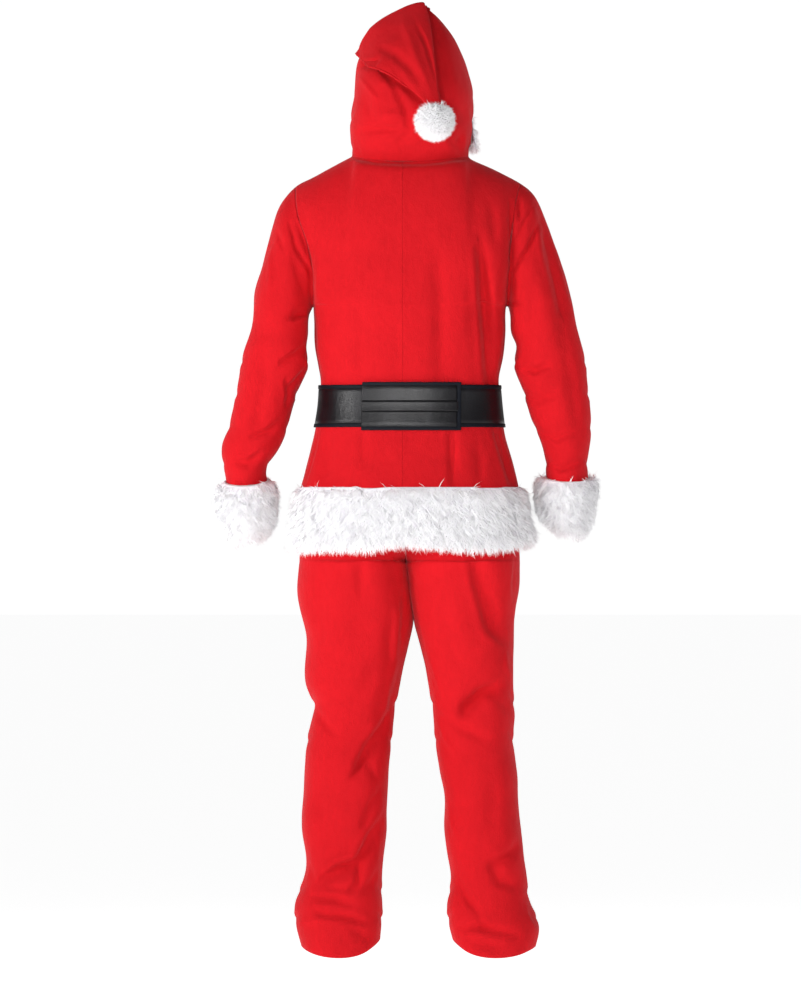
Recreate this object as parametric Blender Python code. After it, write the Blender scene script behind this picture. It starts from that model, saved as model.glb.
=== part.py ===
"""Hooded santa suit as worn: jacket with hood and pile trims, wide belt, trousers."""

import math

import bmesh
import bpy
import numpy as np
from mathutils import Vector
from mathutils.bvhtree import BVHTree

# Sizes in millimetres, +Z up. The suit's back faces -Y and the origin is between the shoulders.
MM = 0.001
CLOTH = 2.0
SEAM = 0.3
ROUND = 0.84            # power that squares a section's corners a little
PILE = 13.0             # how far the white pile stands off the cloth
PANEL_CELLS = 8         # columns of faces across a quarter of the body, or half a leg
TOP_CELLS = 9           # rows of faces from the underarm up to the shoulder
UNDERARM = -262.0
JACKET_END = -612.0
SEED = 12
SPLIT_AXIS = np.array([0.13, 0.37, 1.0])    # a face is cut from its corner farthest along this
SHARP_ANGLE = 50.0

RED = (0.72, 0.012, 0.018)
WHITE = (0.87, 0.86, 0.88)
BLACK = (0.006, 0.005, 0.008)
NAVY = (0.003, 0.005, 0.011)

# Jacket body sections: height, left and right side, depth of back and front.
BODY = [
    (-262, -182, 186, 128, 132),
    (-350, -177, 180, 120, 128),
    (-406, -168, 171, 113, 122),
    (-449, -171, 175, 113, 121),
    (-493, -178, 180, 118, 124),
    (-551, -192, 195, 131, 131),
    (-605, -206, 210, 143, 139),
    (-660, -211, 217, 150, 145),
    (-737, -218, 232, 156, 150),
]
BODY_ROWS = [-262, -298, -338, -378, -405, -449, -493, -530, -566, -597, JACKET_END]
BODY_CENTRE = {"back": -12.0, "front": 12.0}

# Shoulder and neck points of each side, and the neck's middle points.
SHOULDER = {"left": (-217, 4, -31), "right": (211, 4, -26)}
NECK_SIDE = {"left": (-108, 5, 25), "right": (114, 5, 25)}
NECK_MIDDLE = {"back": (-12, -75, 13), "front": (12, 88, -40)}
SHOULDER_ROUND = 2.5

# Armhole: share of its height, distance from the middle.
ARMHOLE = {
    "left": [(0, -182), (0.36, -186), (0.56, -196), (0.78, -212), (1, -217)],
    "right": [(0, 186), (0.42, 191), (0.78, 200), (1, 211)],
}
ARMHOLE_DEPTH = 70.0

# Sleeve rings: outer point x and z, inner point x and z, middle y, half depth, drop at the back.
SLEEVE = {
    "left": [
        (-217, -31, -182, -262, 0, 70, 0),
        (-246, -66, -184.5, -266, -1, 71, 0),
        (-258, -104, -187, -271, -3, 71, 0),
        (-269, -142, -189, -279, -5, 70, 0),
        (-281, -190, -190, -294, -7, 68, 0),
        (-295, -240, -191, -315, -9, 66, 0),
        (-299, -296, -195, -340, -11, 64, 0),
        (-312, -335, -191, -365, -12, 62, 0),
        (-321, -386, -197, -390, -12, 60, 0),
        (-331, -436, -212, -424, -9, 57, 0),
        (-342, -488, -227, -478, -4, 55, 0),
        (-354, -518, -239, -512, 1, 53, 0),
        (-355, -548, -254, -541, 5, 51, 2),
        (-351, -573, -270, -570, 9, 48, 7),
        (-346, -606, -264, -600, 14, 46, 17),
    ],
    "right": [
        (211, -26, 186, -262, 0, 70, 0),
        (236, -46, 188, -266, -1, 71, 0),
        (252, -76, 189, -271, -3, 71, 0),
        (265, -110, 190, -278, -5, 70, 0),
        (280, -150, 191, -290, -7, 68, 0),
        (296, -198, 194, -314, -9, 66, 0),
        (309, -250, 203, -335, -11, 64, 0),
        (322, -304, 199, -362, -12, 62, 0),
        (333, -356, 203, -390, -12, 60, 0),
        (340, -412, 217, -422, -9, 57, 0),
        (345, -466, 231, -470, -4, 55, 0),
        (344, -512, 248, -508, 1, 53, 0),
        (340, -545, 258, -543, 5, 51, 2),
        (340, -571, 259, -568, 9, 48, 6),
        (343, -597, 261, -593, 14, 46, 14),
    ],
}

# Cuff rings below the sleeve's edge, same columns: the outside going down, the hollow going up.
CUFF_OUTSIDE = {
    "left": [
        (-366, -597, -250, -594, 14, 61, 12),
        (-370, -632, -249, -626, 16, 66, 7),
        (-364, -668, -250, -660, 18, 65, 2),
        (-353, -698, -259, -686, 20, 58, 0),
        (-338, -716, -274, -705, 21, 46, 0),
    ],
    "right": [
        (358, -582, 242, -580, 14, 61, 12),
        (359, -618, 238, -614, 16, 66, 7),
        (353, -654, 242, -648, 18, 65, 2),
        (346, -682, 256, -675, 20, 58, 0),
        (331, -703, 279, -695, 21, 46, 0),
    ],
}
CUFF_HOLLOW = {
    "left": [(-334, -711, -279, -701, 21, 38, 0), (-342, -655, -267, -648, 17, 43, 4)],
    "right": [(326, -698, 281, -691, 21, 38, 0), (337, -646, 262, -641, 17, 43, 4)],
}
CUFF_OVERLAP = 0.55     # share of the sleeve's last row that the pile covers
LAP_AIR = 1.0           # air under pile that laps over the fleece

# Hem band: distance off the body and height, round the band's section.
HEM_PROFILE = [
    (0.5, -598.5), (6, -593), (11, -600), (PILE, -620), (PILE, -655), (PILE, -690),
    (PILE - 1, -718), (8, -733), (0, -737), (-CLOTH, -731), (-CLOTH, -672),
    (-CLOTH, JACKET_END - SEAM), (0.5, JACKET_END - SEAM),
]
HEM_UNEVEN = (-1.6, 1.2)    # unevenness of the band's outside
HEM_EVEN_TO = 9.0           # points nearer the body than this stay even
HEM_LIFTED = -700.0         # the table below lifts the points under this height
# Lower edge of the hem band: distance from the middle and how much shorter it is there.
HEM_LIFT = [(-232, 0), (-54, 3), (-18, 13), (34, 6), (133, 0), (203, 7), (228, 15), (246, 30)]

# Hood rows above the neck: left x and z, right x and z, back and front depth,
# angle of the face opening at the left and at the right, rise over the crown, dip at the throat.
HOOD = [
    (-110.5, 50, 117.5, 50, 96, 84, 22, 72, 0, 45),
    (-112.5, 80, 121.5, 82, 112, 92, 36, 54, 0, 22),
    (-110, 112, 123, 114, 120, 98, 41, 45, 0, 8),
    (-105, 143, 122.5, 147, 121, 102, 41, 41, 0, 0),
    (-103, 165, 115.5, 177, 116, 104, 37, 37, 0, 0),
    (-102, 176, 107, 203, 106, 103, 29, 29, 4, 0),
    (-101, 183.5, 96, 230, 93, 98, 16, 16, 12, 0),
    (-100, 190.5, 83, 254, 77, 82, 0, 0, 22, 0),
    (-98.5, 197, 67, 276, 59, 58, 0, 0, 32, 0),
    (-96.5, 203.5, 51, 295, 38, 30, 0, 0, 41, 0),
    (-94, 210, 38, 307, 11, 8, 0, 0, 47, 0),
]
CROWN_RISE = (0.45, 0.9)    # powers that lean the crown's arc to the left
FOLD_ANGLES = (40, 80, 120)
FOLD_AIR = 2.0
RAY_START = -400.0      # behind the whole suit

TRIM_WIDTH = 27.0
TRIM_AIR = 2.5          # air under pile that laps a curved edge
TRIM_CLEAR = 2.2        # least air where the edge curves between two sections
TRIM_PROBE = (9.0, 4.0)     # a step this long away from the edge stays this near the hood
# Trim section: bed point (0 behind, 1 middle, 2 edge), distance forward, distance out,
# and 1 where the bed's air is added.
TRIM_SECTION = [
    (0, 0, 0, 1), (0, -3, 6, 1), (1, 0, 16, 0), (2, 0, 14, 0), (2, 10, 7, 0), (2, 10, -4, 0),
    (2, 0.9, -3, 0), (2, 0.9, 0, 1), (1, 0, 0, 1),
]

# Hood point below its fold: left x and z, right x and z, rise, thickness, distance off the hood.
POINT = [
    (-87, 200, 38, 293, 43, 20, 5),
    (-70, 190, 42, 264, 26, 17, 5),
    (-44, 180, 47, 218, 18, 15, 5),
    (-12, 157, 51, 178, 6, 15, 5),
    (17, 134, 57, 140, 0, 17, 12),
    (34, 115.7, 63, 115.7, 0, 19, 23),
]
POMPOM_CENTRE = (48.6, -151.5, 89.0)
POMPOM_CORE = 26.0
POMPOM_REACH = 39.0
POMPOM_PRESSED = 30.0
POMPOM_BARE = 0.72      # no locks where a face points up more than this, to the hood's point
POMPOM_UNEVEN = 4.0
LOCK_TIP = 0.45         # a lock's end against its root

# Belt bands: lowest and highest z, nearest and farthest distance off the jacket.
BELT = {
    "belt_strap": (-482.0, -416.0, 0.6, 3.2),
    "belt_binding_top": (-415.7, -409.0, 0.5, 4.1),
    "belt_binding_bottom": (-489.0, -482.3, 0.5, 4.1),
}
BELT_END_X = (-86.5, 96.0)
BELT_END_Z = (-495.0, -404.0)
BELT_END_OFF = (4.4, 7.0)
END_BINDING = 6.5
END_BINDING_OFF = (4.4, 7.9)
CHANNEL_Z = (-458.5, -440.8)
CHANNEL_OFF = (7.3, 10.0)
COLUMN_AIR = 1.5        # a strip has no column nearer than this to its end

# Hidden top of the trousers: height, left and right side, depth of back and front.
HIPS = [
    (-465, -168, 171.5, 110.5, 117.5),
    (-550, -184, 187, 124, 123),
    (-620, -196, 200, 137, 127),
    (-680, -203, 208, 143, 126),
    (-745, -208, 211, 142, 122),
]
# Legs: height, outer side, inner side, depth of back and front.
LEG = {
    "left": [
        (-745, -208, -7.5, 126, 112),
        (-797, -213.5, -1.5, 118, 104),
        (-854, -205, 2.5, 110, 96),
        (-889, -195, -4, 105, 92),
        (-930, -198, -12.5, 99, 88),
        (-980, -196, -21, 92, 84),
        (-1013, -182, -27, 87, 82),
        (-1037, -185, -30, 85, 82),
        (-1081, -193, -32.5, 84, 80),
        (-1168, -199, -39.5, 88, 74),
        (-1246, -204.5, -41.5, 90, 70),
        (-1310, -196, -48, 88, 68),
        (-1351, -203, -51.5, 86, 70),
        (-1385, -214.5, -51, 87, 72),
        (-1439, -216, -51, 88, 74),
        (-1495, -205, -54, 84, 70),
    ],
    "right": [
        (-745, 211, -4.5, 126, 112),
        (-797, 208.5, 1.5, 118, 104),
        (-854, 200.5, 9, 110, 96),
        (-890, 200, 17.5, 105, 92),
        (-923, 199, 26, 100, 88),
        (-986, 197.5, 37.5, 92, 84),
        (-1034, 200, 46.5, 86, 82),
        (-1091, 197.5, 50, 84, 80),
        (-1130, 203, 55, 85, 77),
        (-1168, 206, 65, 88, 74),
        (-1270, 214.5, 67, 90, 69),
        (-1361, 227, 78.5, 87, 70),
        (-1398, 233, 71, 87, 72),
        (-1425, 246.5, 72, 88, 74),
        (-1456, 246.5, 75, 88, 74),
        (-1495, 241, 82, 84, 70),
    ],
}
LEG_ROWS = [-465, -520, -570, -612, -650, -685, -712, -731, -741, -745, -765, -800, -845, -888,
            -932, -980, -1013, -1045, -1090, -1145, -1200, -1255, -1310, -1352, -1392, -1440, -1495]
TROUSER_CENTRE = {"back": (-12.0, -6.0), "front": (12.0, -6.0)}
RISE_TOP = -600.0
CROTCH = -745.0
CENTRE_GAP = 0.15
LEG_END_RISE = (20.0, 34.0)     # how much the hem climbs at the outer and inner side
LEG_END_FROM = -1392.0          # height where the climb starts to show
WAISTBAND_Z = (-464.7, -425.0)
WAISTBAND_OFF = (-5.2, -2.7)

FOLD_FACING = 1.8       # how fast a fold comes in as the cloth turns to face it
FOLD_ENDS = 0.35        # share of a fold's depth that is left at its ends
# Large folds of the back: route as (x, z) points, half width, depth (a ridge is negative).
FOLDS_BACK = [
    ([(133, -150), (135, -235), (143, -335), (147, -385)], 17, 8),
    ([(157, -150), (160, -250), (166, -340)], 15, -4),
    ([(56, -165), (62, -280), (68, -385)], 26, 4),
    ([(-60, -290), (-75, -385)], 22, 3),
    ([(182, -510), (197, -590)], 15, 6),
    ([(-150, -520), (-158, -590)], 18, 4),
    ([(60, -505), (70, -590)], 22, 4),
    ([(117, -765), (149, -861), (165, -889)], 22, 9),
    ([(100, -1030), (127, -996), (166, -974)], 18, 7),
    ([(52, -1060), (92, -1120)], 18, 6),
    ([(-14, -925), (-30, -1008), (-46, -1050), (-94, -1119)], 20, 8),
    ([(-62, -1231), (-96, -1286), (-120, -1313), (-162, -1341)], 19, 8),
    ([(-147, -1417), (-86, -1425)], 16, 6),
    ([(96, -1347), (118, -1395)], 18, 6),
    ([(130, -1418), (205, -1432)], 16, 5),
    ([(-120, -800), (-96, -900)], 26, 6),
]
# Quieter folds of the hidden front, in the same columns.
FOLDS_FRONT = [
    ([(-120, -180), (-130, -380)], 24, 5),
    ([(118, -170), (124, -385)], 24, 5),
    ([(-140, -510), (-150, -590)], 20, 4),
    ([(90, -505), (98, -590)], 22, 4),
    ([(-60, -790), (-120, -840)], 20, 6),
    ([(60, -790), (125, -845)], 20, 6),
    ([(-150, -1010), (-90, -1050)], 18, 6),
    ([(80, -1020), (150, -1060)], 18, 6),
    ([(-180, -1370), (-100, -1390)], 18, 6),
    ([(110, -1380), (190, -1400)], 18, 6),
]
# Folds of the sleeves, which show from behind and are repeated in front.
FOLDS_SLEEVE = [
    ([(-215, -120), (-200, -230)], 16, 6),
    ([(-222, -352), (-262, -330)], 14, 6),
    ([(-215, -405), (-265, -385), (-300, -392)], 15, 6),
    ([(-240, -500), (-300, -478)], 14, 5),
    ([(-268, -568), (-322, -548)], 13, 5),
    ([(247, -75), (230, -140), (208, -190)], 16, 6),
    ([(262, -95), (272, -200), (288, -290)], 18, 5),
    ([(212, -385), (262, -366), (310, -380)], 15, 6),
    ([(236, -490), (290, -470)], 14, 5),
    ([(262, -562), (312, -545)], 13, 5),
]


def smooth_at(table, place):
    """Every column of a table at one place, on a smooth curve through the rows."""
    rows = np.array(sorted(table), float)
    keys, values = rows[:, 0], rows[:, 1:]
    slopes = np.gradient(values, keys, axis=0)
    place = min(max(place, keys[0]), keys[-1])
    low = min(int(np.searchsorted(keys, place, side="right")) - 1, len(keys) - 2)
    span = keys[low + 1] - keys[low]
    t = (place - keys[low]) / span
    return (
        (2 * t**3 - 3 * t**2 + 1) * values[low]
        + (t**3 - 2 * t**2 + t) * span * slopes[low]
        + (3 * t**2 - 2 * t**3) * values[low + 1]
        + (t**3 - t**2) * span * slopes[low + 1]
    )


def blend(a, b, share):
    """The point that lies a share of the way from a to b."""
    return np.asarray(a, float) * (1 - share) + np.asarray(b, float) * share


def squared(value):
    """A sine or cosine with its curve pushed out towards the corners."""
    return math.copysign(abs(value) ** ROUND, value)


def section_point(sections, centre, side, half, share, z):
    """A point of a body section: share 0 at the side seam, 1 at the middle."""
    left, right, back, front = smooth_at(sections, z)
    edge = left if side == "left" else right
    depth = -back if half == "back" else front
    angle = share * math.pi / 2
    return np.array([centre + (edge - centre) * squared(math.cos(angle)),
                     depth * squared(math.sin(angle)), z])


def neck_point(side, half, share):
    """A point of the neck seam: share 0 at its side, 1 at the middle."""
    start = np.array(NECK_SIDE[side], float)
    end = np.array(NECK_MIDDLE[half], float)
    angle = share * math.pi / 2
    return np.array([end[0] + (start[0] - end[0]) * math.cos(angle),
                     start[1] + (end[1] - start[1]) * math.sin(angle),
                     start[2] + (end[2] - start[2]) * math.sin(angle) ** 2])


def top_edge(side, half, share):
    """Shoulder seam for the outer half of the columns, neck seam for the inner half."""
    if share <= 0.5:
        return blend(SHOULDER[side], NECK_SIDE[side], share * 2)
    return neck_point(side, half, share * 2 - 1)


def armhole_point(side, half, turn):
    """A point of the armhole: turn 0 at the underarm, 1 at the shoulder."""
    rise = (1 - math.cos(turn * math.pi)) / 2
    back = -1 if half == "back" else 1
    height = UNDERARM + (SHOULDER[side][2] - UNDERARM) * rise
    depth = back * ARMHOLE_DEPTH * math.sin(turn * math.pi) + SHOULDER[side][1] * rise
    return np.array([smooth_at(ARMHOLE[side], rise)[0], depth, height])


def body_panel(side, half):
    """Outer points of a quarter of the jacket, from the hem up to shoulder and neck."""
    centre = BODY_CENTRE[half]
    shares = np.linspace(0, 1, PANEL_CELLS + 1)
    rows = [[section_point(BODY, centre, side, half, u, z) for u in shares]
            for z in reversed(BODY_ROWS)]
    low = rows[-1]
    for step in range(1, TOP_CELLS + 1):
        rise = (1 - math.cos(math.pi * step / TOP_CELLS)) / 2
        arc = (1 - rise**SHOULDER_ROUND) ** (1 / SHOULDER_ROUND)
        row = []
        for u, start in zip(shares, low):
            end = top_edge(side, half, u)
            point = blend(start, end, rise)
            point[1] = end[1] + (start[1] - end[1]) * arc
            row.append(point)
        shift = armhole_point(side, half, step / TOP_CELLS) - row[0]
        rows.append([point + shift * (1 - u) ** 2 for u, point in zip(shares, row)])
    return np.array(rows)


def ring_point(columns, turn):
    """A point of a sleeve ring: turn 0 at the inner point, 0.5 at the outer, over the back."""
    outer_x, outer_z, inner_x, inner_z, middle, half, drop = columns
    angle = turn * 2 * math.pi
    share = (1 - math.cos(angle)) / 2
    low = drop * max(0.0, math.sin(angle))
    return np.array([inner_x + (outer_x - inner_x) * share, middle - half * math.sin(angle),
                     inner_z + (outer_z - inner_z) * share - low])


def sleeve_tube(side):
    """Outer points of a sleeve, a ring for each table row, the first on the armhole."""
    turns = np.arange(2 * TOP_CELLS) / (2 * TOP_CELLS)
    rings = []
    for index, columns in enumerate(SLEEVE[side]):
        ring = [ring_point(columns, turn) for turn in turns]
        if index == 0:
            ring = [armhole_point(side, "back" if t <= 0.5 else "front", min(t, 1 - t) * 2)
                    for t in turns]
        rings.append(ring)
    return np.array(rings)


def hood_panel(side):
    """Outer points of half the hood, from the face edge round to the centre back."""
    half_cells = PANEL_CELLS // 2
    rows = [[neck_point(side, "front", 1 - i / half_cells) for i in range(half_cells)]
            + [neck_point(side, "back", i / half_cells) for i in range(half_cells + 1)]]
    for left_x, left_z, right_x, right_z, back, front, *openings, rise, dip in HOOD:
        start = math.radians(openings[0] if side == "left" else openings[1])
        angles = [start + (math.pi / 2 - start) * i / half_cells for i in range(half_cells)]
        angles += [math.pi / 2 * (1 + i / half_cells) for i in range(half_cells + 1)]
        edge = left_x if side == "left" else right_x
        middle = (left_x + right_x) / 2
        row = []
        for angle in angles:
            depth = front if angle < math.pi / 2 else back
            x = middle + (edge - middle) * squared(math.sin(angle))
            y = depth * squared(math.cos(angle))
            share = (x - left_x) / (right_x - left_x)
            z = left_z + (right_z - left_z) * share + rise * crown_arc(share)
            z -= dip * max(0.0, math.cos(angle)) ** 2
            row.append(np.array([x, y, z]))
        rows.append(row)
    return np.array(rows)


def crown_arc(share):
    """Height of the crown's arc, 0 at both ends, highest towards the left."""
    share = min(max(share, 0.0), 1.0)
    return share ** CROWN_RISE[0] * (1 - share) ** CROWN_RISE[1]


def leg_panel(side, half):
    """Outer points of a trouser panel, from the waist down to the hem."""
    shares = np.linspace(0, 1, PANEL_CELLS + 1)
    sign = -1 if side == "left" else 1
    rows = []
    for z in LEG_ROWS:
        fall = min(max((RISE_TOP - z) / (RISE_TOP - CROTCH), 0), 1)
        parted = 1 - math.sqrt(1 - fall * fall)
        top, bottom = TROUSER_CENTRE[half]
        centre = top + (bottom - top) * min((LEG_ROWS[0] - z) / (LEG_ROWS[0] - CROTCH), 1)
        outer, inner, back, front = smooth_at(LEG[side], z)
        depth = -back if half == "back" else front
        hem = max((LEG_END_FROM - z) / (LEG_END_FROM - LEG_ROWS[-1]), 0)
        row = []
        for u in shares:
            whole = section_point(HIPS, centre, side, half, u, max(z, CROTCH))
            turn = math.cos(u * math.pi)
            middle = (outer + inner) / 2
            leg = np.array([middle + (outer - middle) * squared(turn),
                            depth * squared(math.sin(u * math.pi)), z])
            point = blend(whole, leg, parted)
            rise = LEG_END_RISE[0] if turn > 0 else LEG_END_RISE[1]
            point[2] = z + hem * rise * turn * turn
            if z > CROTCH:
                limit = centre + sign * CENTRE_GAP
                point[0] = min(point[0], limit) if side == "left" else max(point[0], limit)
            row.append(point)
        rows.append(row)
    return np.array(rows)


def grid_normals(grid, closed):
    """Sums of face normals at a grid's points, each weighed by its corner's angle."""
    sums = np.zeros(grid.shape)
    width = grid.shape[1] if closed else grid.shape[1] - 1
    columns = np.arange(width)
    beside = (columns + 1) % grid.shape[1]
    loop = [(slice(0, -1), columns), (slice(0, -1), beside),
            (slice(1, None), beside), (slice(1, None), columns)]
    for place in range(4):
        here, ahead, behind = loop[place], loop[(place + 1) % 4], loop[place - 1]
        one = unit(grid[ahead] - grid[here])
        other = unit(grid[behind] - grid[here])
        angle = np.arccos(np.clip((one * other).sum(-1, keepdims=True), -1, 1))
        sums[here] += unit(np.cross(one, other)) * angle
    return sums


def unit(vectors):
    return vectors / np.maximum(np.linalg.norm(vectors, axis=-1, keepdims=True), 1e-9)


class Cloth:
    """A sewn set of grids whose shared edges keep one normal."""

    def __init__(self):
        self.grids, self.closed, self.normals = {}, {}, {}

    def add(self, name, grid, closed=False, flip=False):
        if flip:
            grid = grid[:, ::-1]
        self.grids[name] = np.array(grid, float)
        self.closed[name] = closed

    def settle_normals(self):
        sums, own = {}, {}
        for name, grid in self.grids.items():
            own[name] = grid_normals(grid, self.closed[name])
            for point, normal in zip(grid.reshape(-1, 3), own[name].reshape(-1, 3)):
                key = tuple(np.round(point, 2) + 0.0)
                sums[key] = sums.get(key, 0) + normal
        for name, grid in self.grids.items():
            shared = [sums[tuple(np.round(p, 2) + 0.0)] for p in grid.reshape(-1, 3)]
            self.normals[name] = unit(np.array(shared)).reshape(grid.shape)

    def press_folds(self, names, folds, facing):
        """Sinks soft troughs into the grids where their normals face one way."""
        for name in names:
            grid, normals = self.grids[name], self.normals[name]
            weight = np.clip(normals[..., 1] * facing * FOLD_FACING, 0, 1)
            depth = np.zeros(weight.shape)
            for route, width, sink in folds:
                depth += sink * fold_share(grid[..., [0, 2]], route, width)
            self.grids[name] = grid - normals * (depth * weight)[..., None]


def fold_share(points, route, width):
    """How much of a fold's depth each (x, z) point gets, soft across and at both ends."""
    best = np.full(points.shape[:-1], 1e9)
    route = np.array(route, float)
    reach = np.concatenate([[0], np.cumsum(np.linalg.norm(np.diff(route, axis=0), axis=1))])
    fade = np.ones(points.shape[:-1])
    for index in range(len(route) - 1):
        start, step = route[index], route[index + 1] - route[index]
        along = ((points - start) @ step) / (step @ step)
        spot = np.clip(along, 0, 1)
        away = np.linalg.norm(points - start - spot[..., None] * step, axis=-1)
        place = (reach[index] + spot * np.linalg.norm(step)) / reach[-1]
        nearer = away < best
        best = np.where(nearer, away, best)
        fade = np.where(nearer, FOLD_ENDS + (1 - FOLD_ENDS) * np.sin(np.pi * place), fade)
    return np.exp(-((best / width) ** 2)) * fade


def split_face(points, face):
    """Cuts a four-sided face by one rule, so that surfaces which lie side by side match."""
    if len(face) != 4:
        return [face]
    top = int(np.argmax(points[face] @ SPLIT_AXIS))
    a, b, c, d = [face[(top + i) % 4] for i in range(4)]
    return [[a, b, c], [a, c, d]]


def make_object(name, points, faces, look):
    """One closed body from points in millimetres, its faces turned outward."""
    mesh = bpy.data.meshes.new(name)
    points = np.asarray(points, float)
    faces = [part for face in faces for part in split_face(points, face)]
    mesh.from_pydata([tuple(p * MM) for p in points], [], faces)
    body = bmesh.new()
    body.from_mesh(mesh)
    bmesh.ops.recalc_face_normals(body, faces=body.faces)
    if body.calc_volume(signed=True) < 0:
        bmesh.ops.reverse_faces(body, faces=body.faces)
    body.to_mesh(mesh)
    body.free()
    mesh.materials.append(look)
    mesh.shade_smooth()
    mesh.set_sharp_from_angle(angle=math.radians(SHARP_ANGLE))
    obj = bpy.data.objects.new(name, mesh)
    bpy.context.scene.collection.objects.link(obj)
    return obj


def material(name, colour, roughness):
    look = bpy.data.materials.new(name)
    look.use_nodes = True
    shader = look.node_tree.nodes["Principled BSDF"]
    shader.inputs["Base Color"].default_value = (*colour, 1)
    shader.inputs["Roughness"].default_value = roughness
    shader.inputs["Metallic"].default_value = 0
    return look


def trim_edges(outer, inner, normals, closed):
    """Draws each free edge of a wall back from its seam, across the edge."""
    outer, inner = outer.copy(), inner.copy()
    edges = [(0, 0, 1), (0, -1, -1)] + ([] if closed else [(1, 0, 1), (1, -1, -1)])
    for axis, index, sign in edges:
        line = np.take(outer, index, axis=axis)
        inside = np.take(outer, index + sign, axis=axis) - line
        if closed:
            tangent = np.roll(line, -1, 0) - np.roll(line, 1, 0)
        else:
            tangent = np.gradient(line, axis=0)
        across = np.cross(tangent, np.take(normals, index, axis=axis))
        across /= np.maximum(np.linalg.norm(across, axis=1, keepdims=True), 1e-9)
        across *= np.sign((across * inside).sum(1, keepdims=True))
        spot = (index, slice(None)) if axis == 0 else (slice(None), index)
        outer[spot] += across * SEAM / 2
        inner[spot] += across * SEAM / 2
    return outer, inner


def wall(name, outer, inner, look, keep=None):
    """A closed wall between two grids of points; keep picks the cells that are built."""
    rows, columns = outer.shape[:2]
    points = np.concatenate([outer.reshape(-1, 3), inner.reshape(-1, 3)])
    shift = rows * columns
    faces, sides = [], {}
    for row in range(rows - 1):
        for column in range(columns - 1):
            if keep is not None and not keep[row][column]:
                continue
            a = row * columns + column
            loop = [a, a + 1, a + columns + 1, a + columns]
            faces.append(loop)
            faces.append([p + shift for p in reversed(loop)])
            for start, end in zip(loop, loop[1:] + loop[:1]):
                if (end, start) in sides:
                    del sides[(end, start)]
                else:
                    sides[(start, end)] = True
    faces += [[end, start, start + shift, end + shift] for start, end in sides]
    used = sorted({p for face in faces for p in face})
    order = {p: i for i, p in enumerate(used)}
    return make_object(name, points[used], [[order[p] for p in face] for face in faces], look)


def looped(name, rings, look):
    """A closed body from rings joined one to the next and the last to the first."""
    rings = np.array(rings)
    count, size = rings.shape[:2]
    faces = []
    for i in range(count):
        for j in range(size):
            k, n = (i + 1) % count, (j + 1) % size
            faces.append([i * size + j, i * size + n, k * size + n, k * size + j])
    return make_object(name, rings.reshape(-1, 3), faces, look)


def cloth_object(name, cloth, look):
    """The fleece wall of one cut piece, drawn back from its seams."""
    outer, normals = cloth.grids[name], cloth.normals[name]
    outer, inner = trim_edges(outer, outer - normals * CLOTH, normals, cloth.closed[name])
    if cloth.closed[name]:
        return looped(name, list(outer) + list(inner[::-1]), look)
    return wall(name, outer, inner, look)


def lay_jacket(red):
    """Cuts and folds the jacket's body, sleeves and hood; returns the sewn set."""
    cloth = Cloth()
    for side in ("left", "right"):
        for half in ("back", "front"):
            flip = (side == "left") != (half == "back")
            cloth.add(f"{half}_{side}", body_panel(side, half), flip=flip)
        tube = sleeve_tube(side)
        cloth.add(f"sleeve_{side}", tube, closed=True, flip=side == "right")
        cloth.add(f"hood_{side}", hood_panel(side), flip=side == "right")
    add_hood_point(cloth)
    cloth.settle_normals()
    names = list(cloth.grids)
    folded = [n for n in names if not n.startswith("hood")]
    cloth.press_folds(folded, FOLDS_BACK + FOLDS_SLEEVE, -1)
    cloth.press_folds(folded, FOLDS_FRONT + FOLDS_SLEEVE, 1)
    cloth.settle_normals()
    for name in names:
        cloth_object(name, cloth, red)
    return cloth


def add_hood_point(cloth):
    """The hood's point: over the fold at the crown, then down the back to the pompom."""
    left, right = cloth.grids["hood_left"], cloth.grids["hood_right"][:, ::-1]
    ring = np.concatenate([left[-1], right[-1][-2:0:-1]])
    skin = hood_skin(cloth)
    low, high = ring[:, 0].min(), ring[:, 0].max()
    ridge = np.array([high - low, 0, HOOD[-1][3] - HOOD[-1][1]], float)
    up = np.array([-ridge[2], 0, ridge[0]]) / np.linalg.norm(ridge)
    pivot = ring[:, 1].min() - FOLD_AIR
    shares = (ring[:, 0] - low) / (high - low)
    outward = (ring[:, 1] - ring[:, 1].min()) / (ring[:, 1].max() - ring[:, 1].min())
    rings = [ring]
    for angle in FOLD_ANGLES:
        reach = ring[:, 1] - pivot
        turned = ring + up * (reach * math.sin(math.radians(angle)))[:, None]
        turned[:, 1] = pivot + reach * math.cos(math.radians(angle))
        rings.append(turned)
    for left_x, left_z, right_x, right_z, rise, thick, off in POINT:
        row = []
        for share, out in zip(shares, outward):
            x = left_x + (right_x - left_x) * share
            z = left_z + (right_z - left_z) * share + rise * crown_arc(share)
            hit = skin.ray_cast(Vector((x, RAY_START, z)), Vector((0, 1, 0)))[0]
            near = hit.y if hit else rings[-1][len(row)][1]
            row.append((x, near - off - thick * out, z))
        rings.append(np.array(row))
    cloth.add("hood_point", np.array(rings), closed=True)


def hood_skin(cloth):
    """The hood's outer surface, to find points on it."""
    points, faces = [], []
    for name in ("hood_left", "hood_right"):
        grid = cloth.grids[name]
        rows, columns = grid.shape[:2]
        base = len(points)
        points += [Vector(p) for p in grid.reshape(-1, 3)]
        for row in range(rows - 1):
            for column in range(columns - 1):
                a = base + row * columns + column
                faces.append([a, a + 1, a + columns + 1, a + columns])
    places = np.array([tuple(p) for p in points])
    return BVHTree.FromPolygons(points, [part for f in faces for part in split_face(places, f)])


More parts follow.
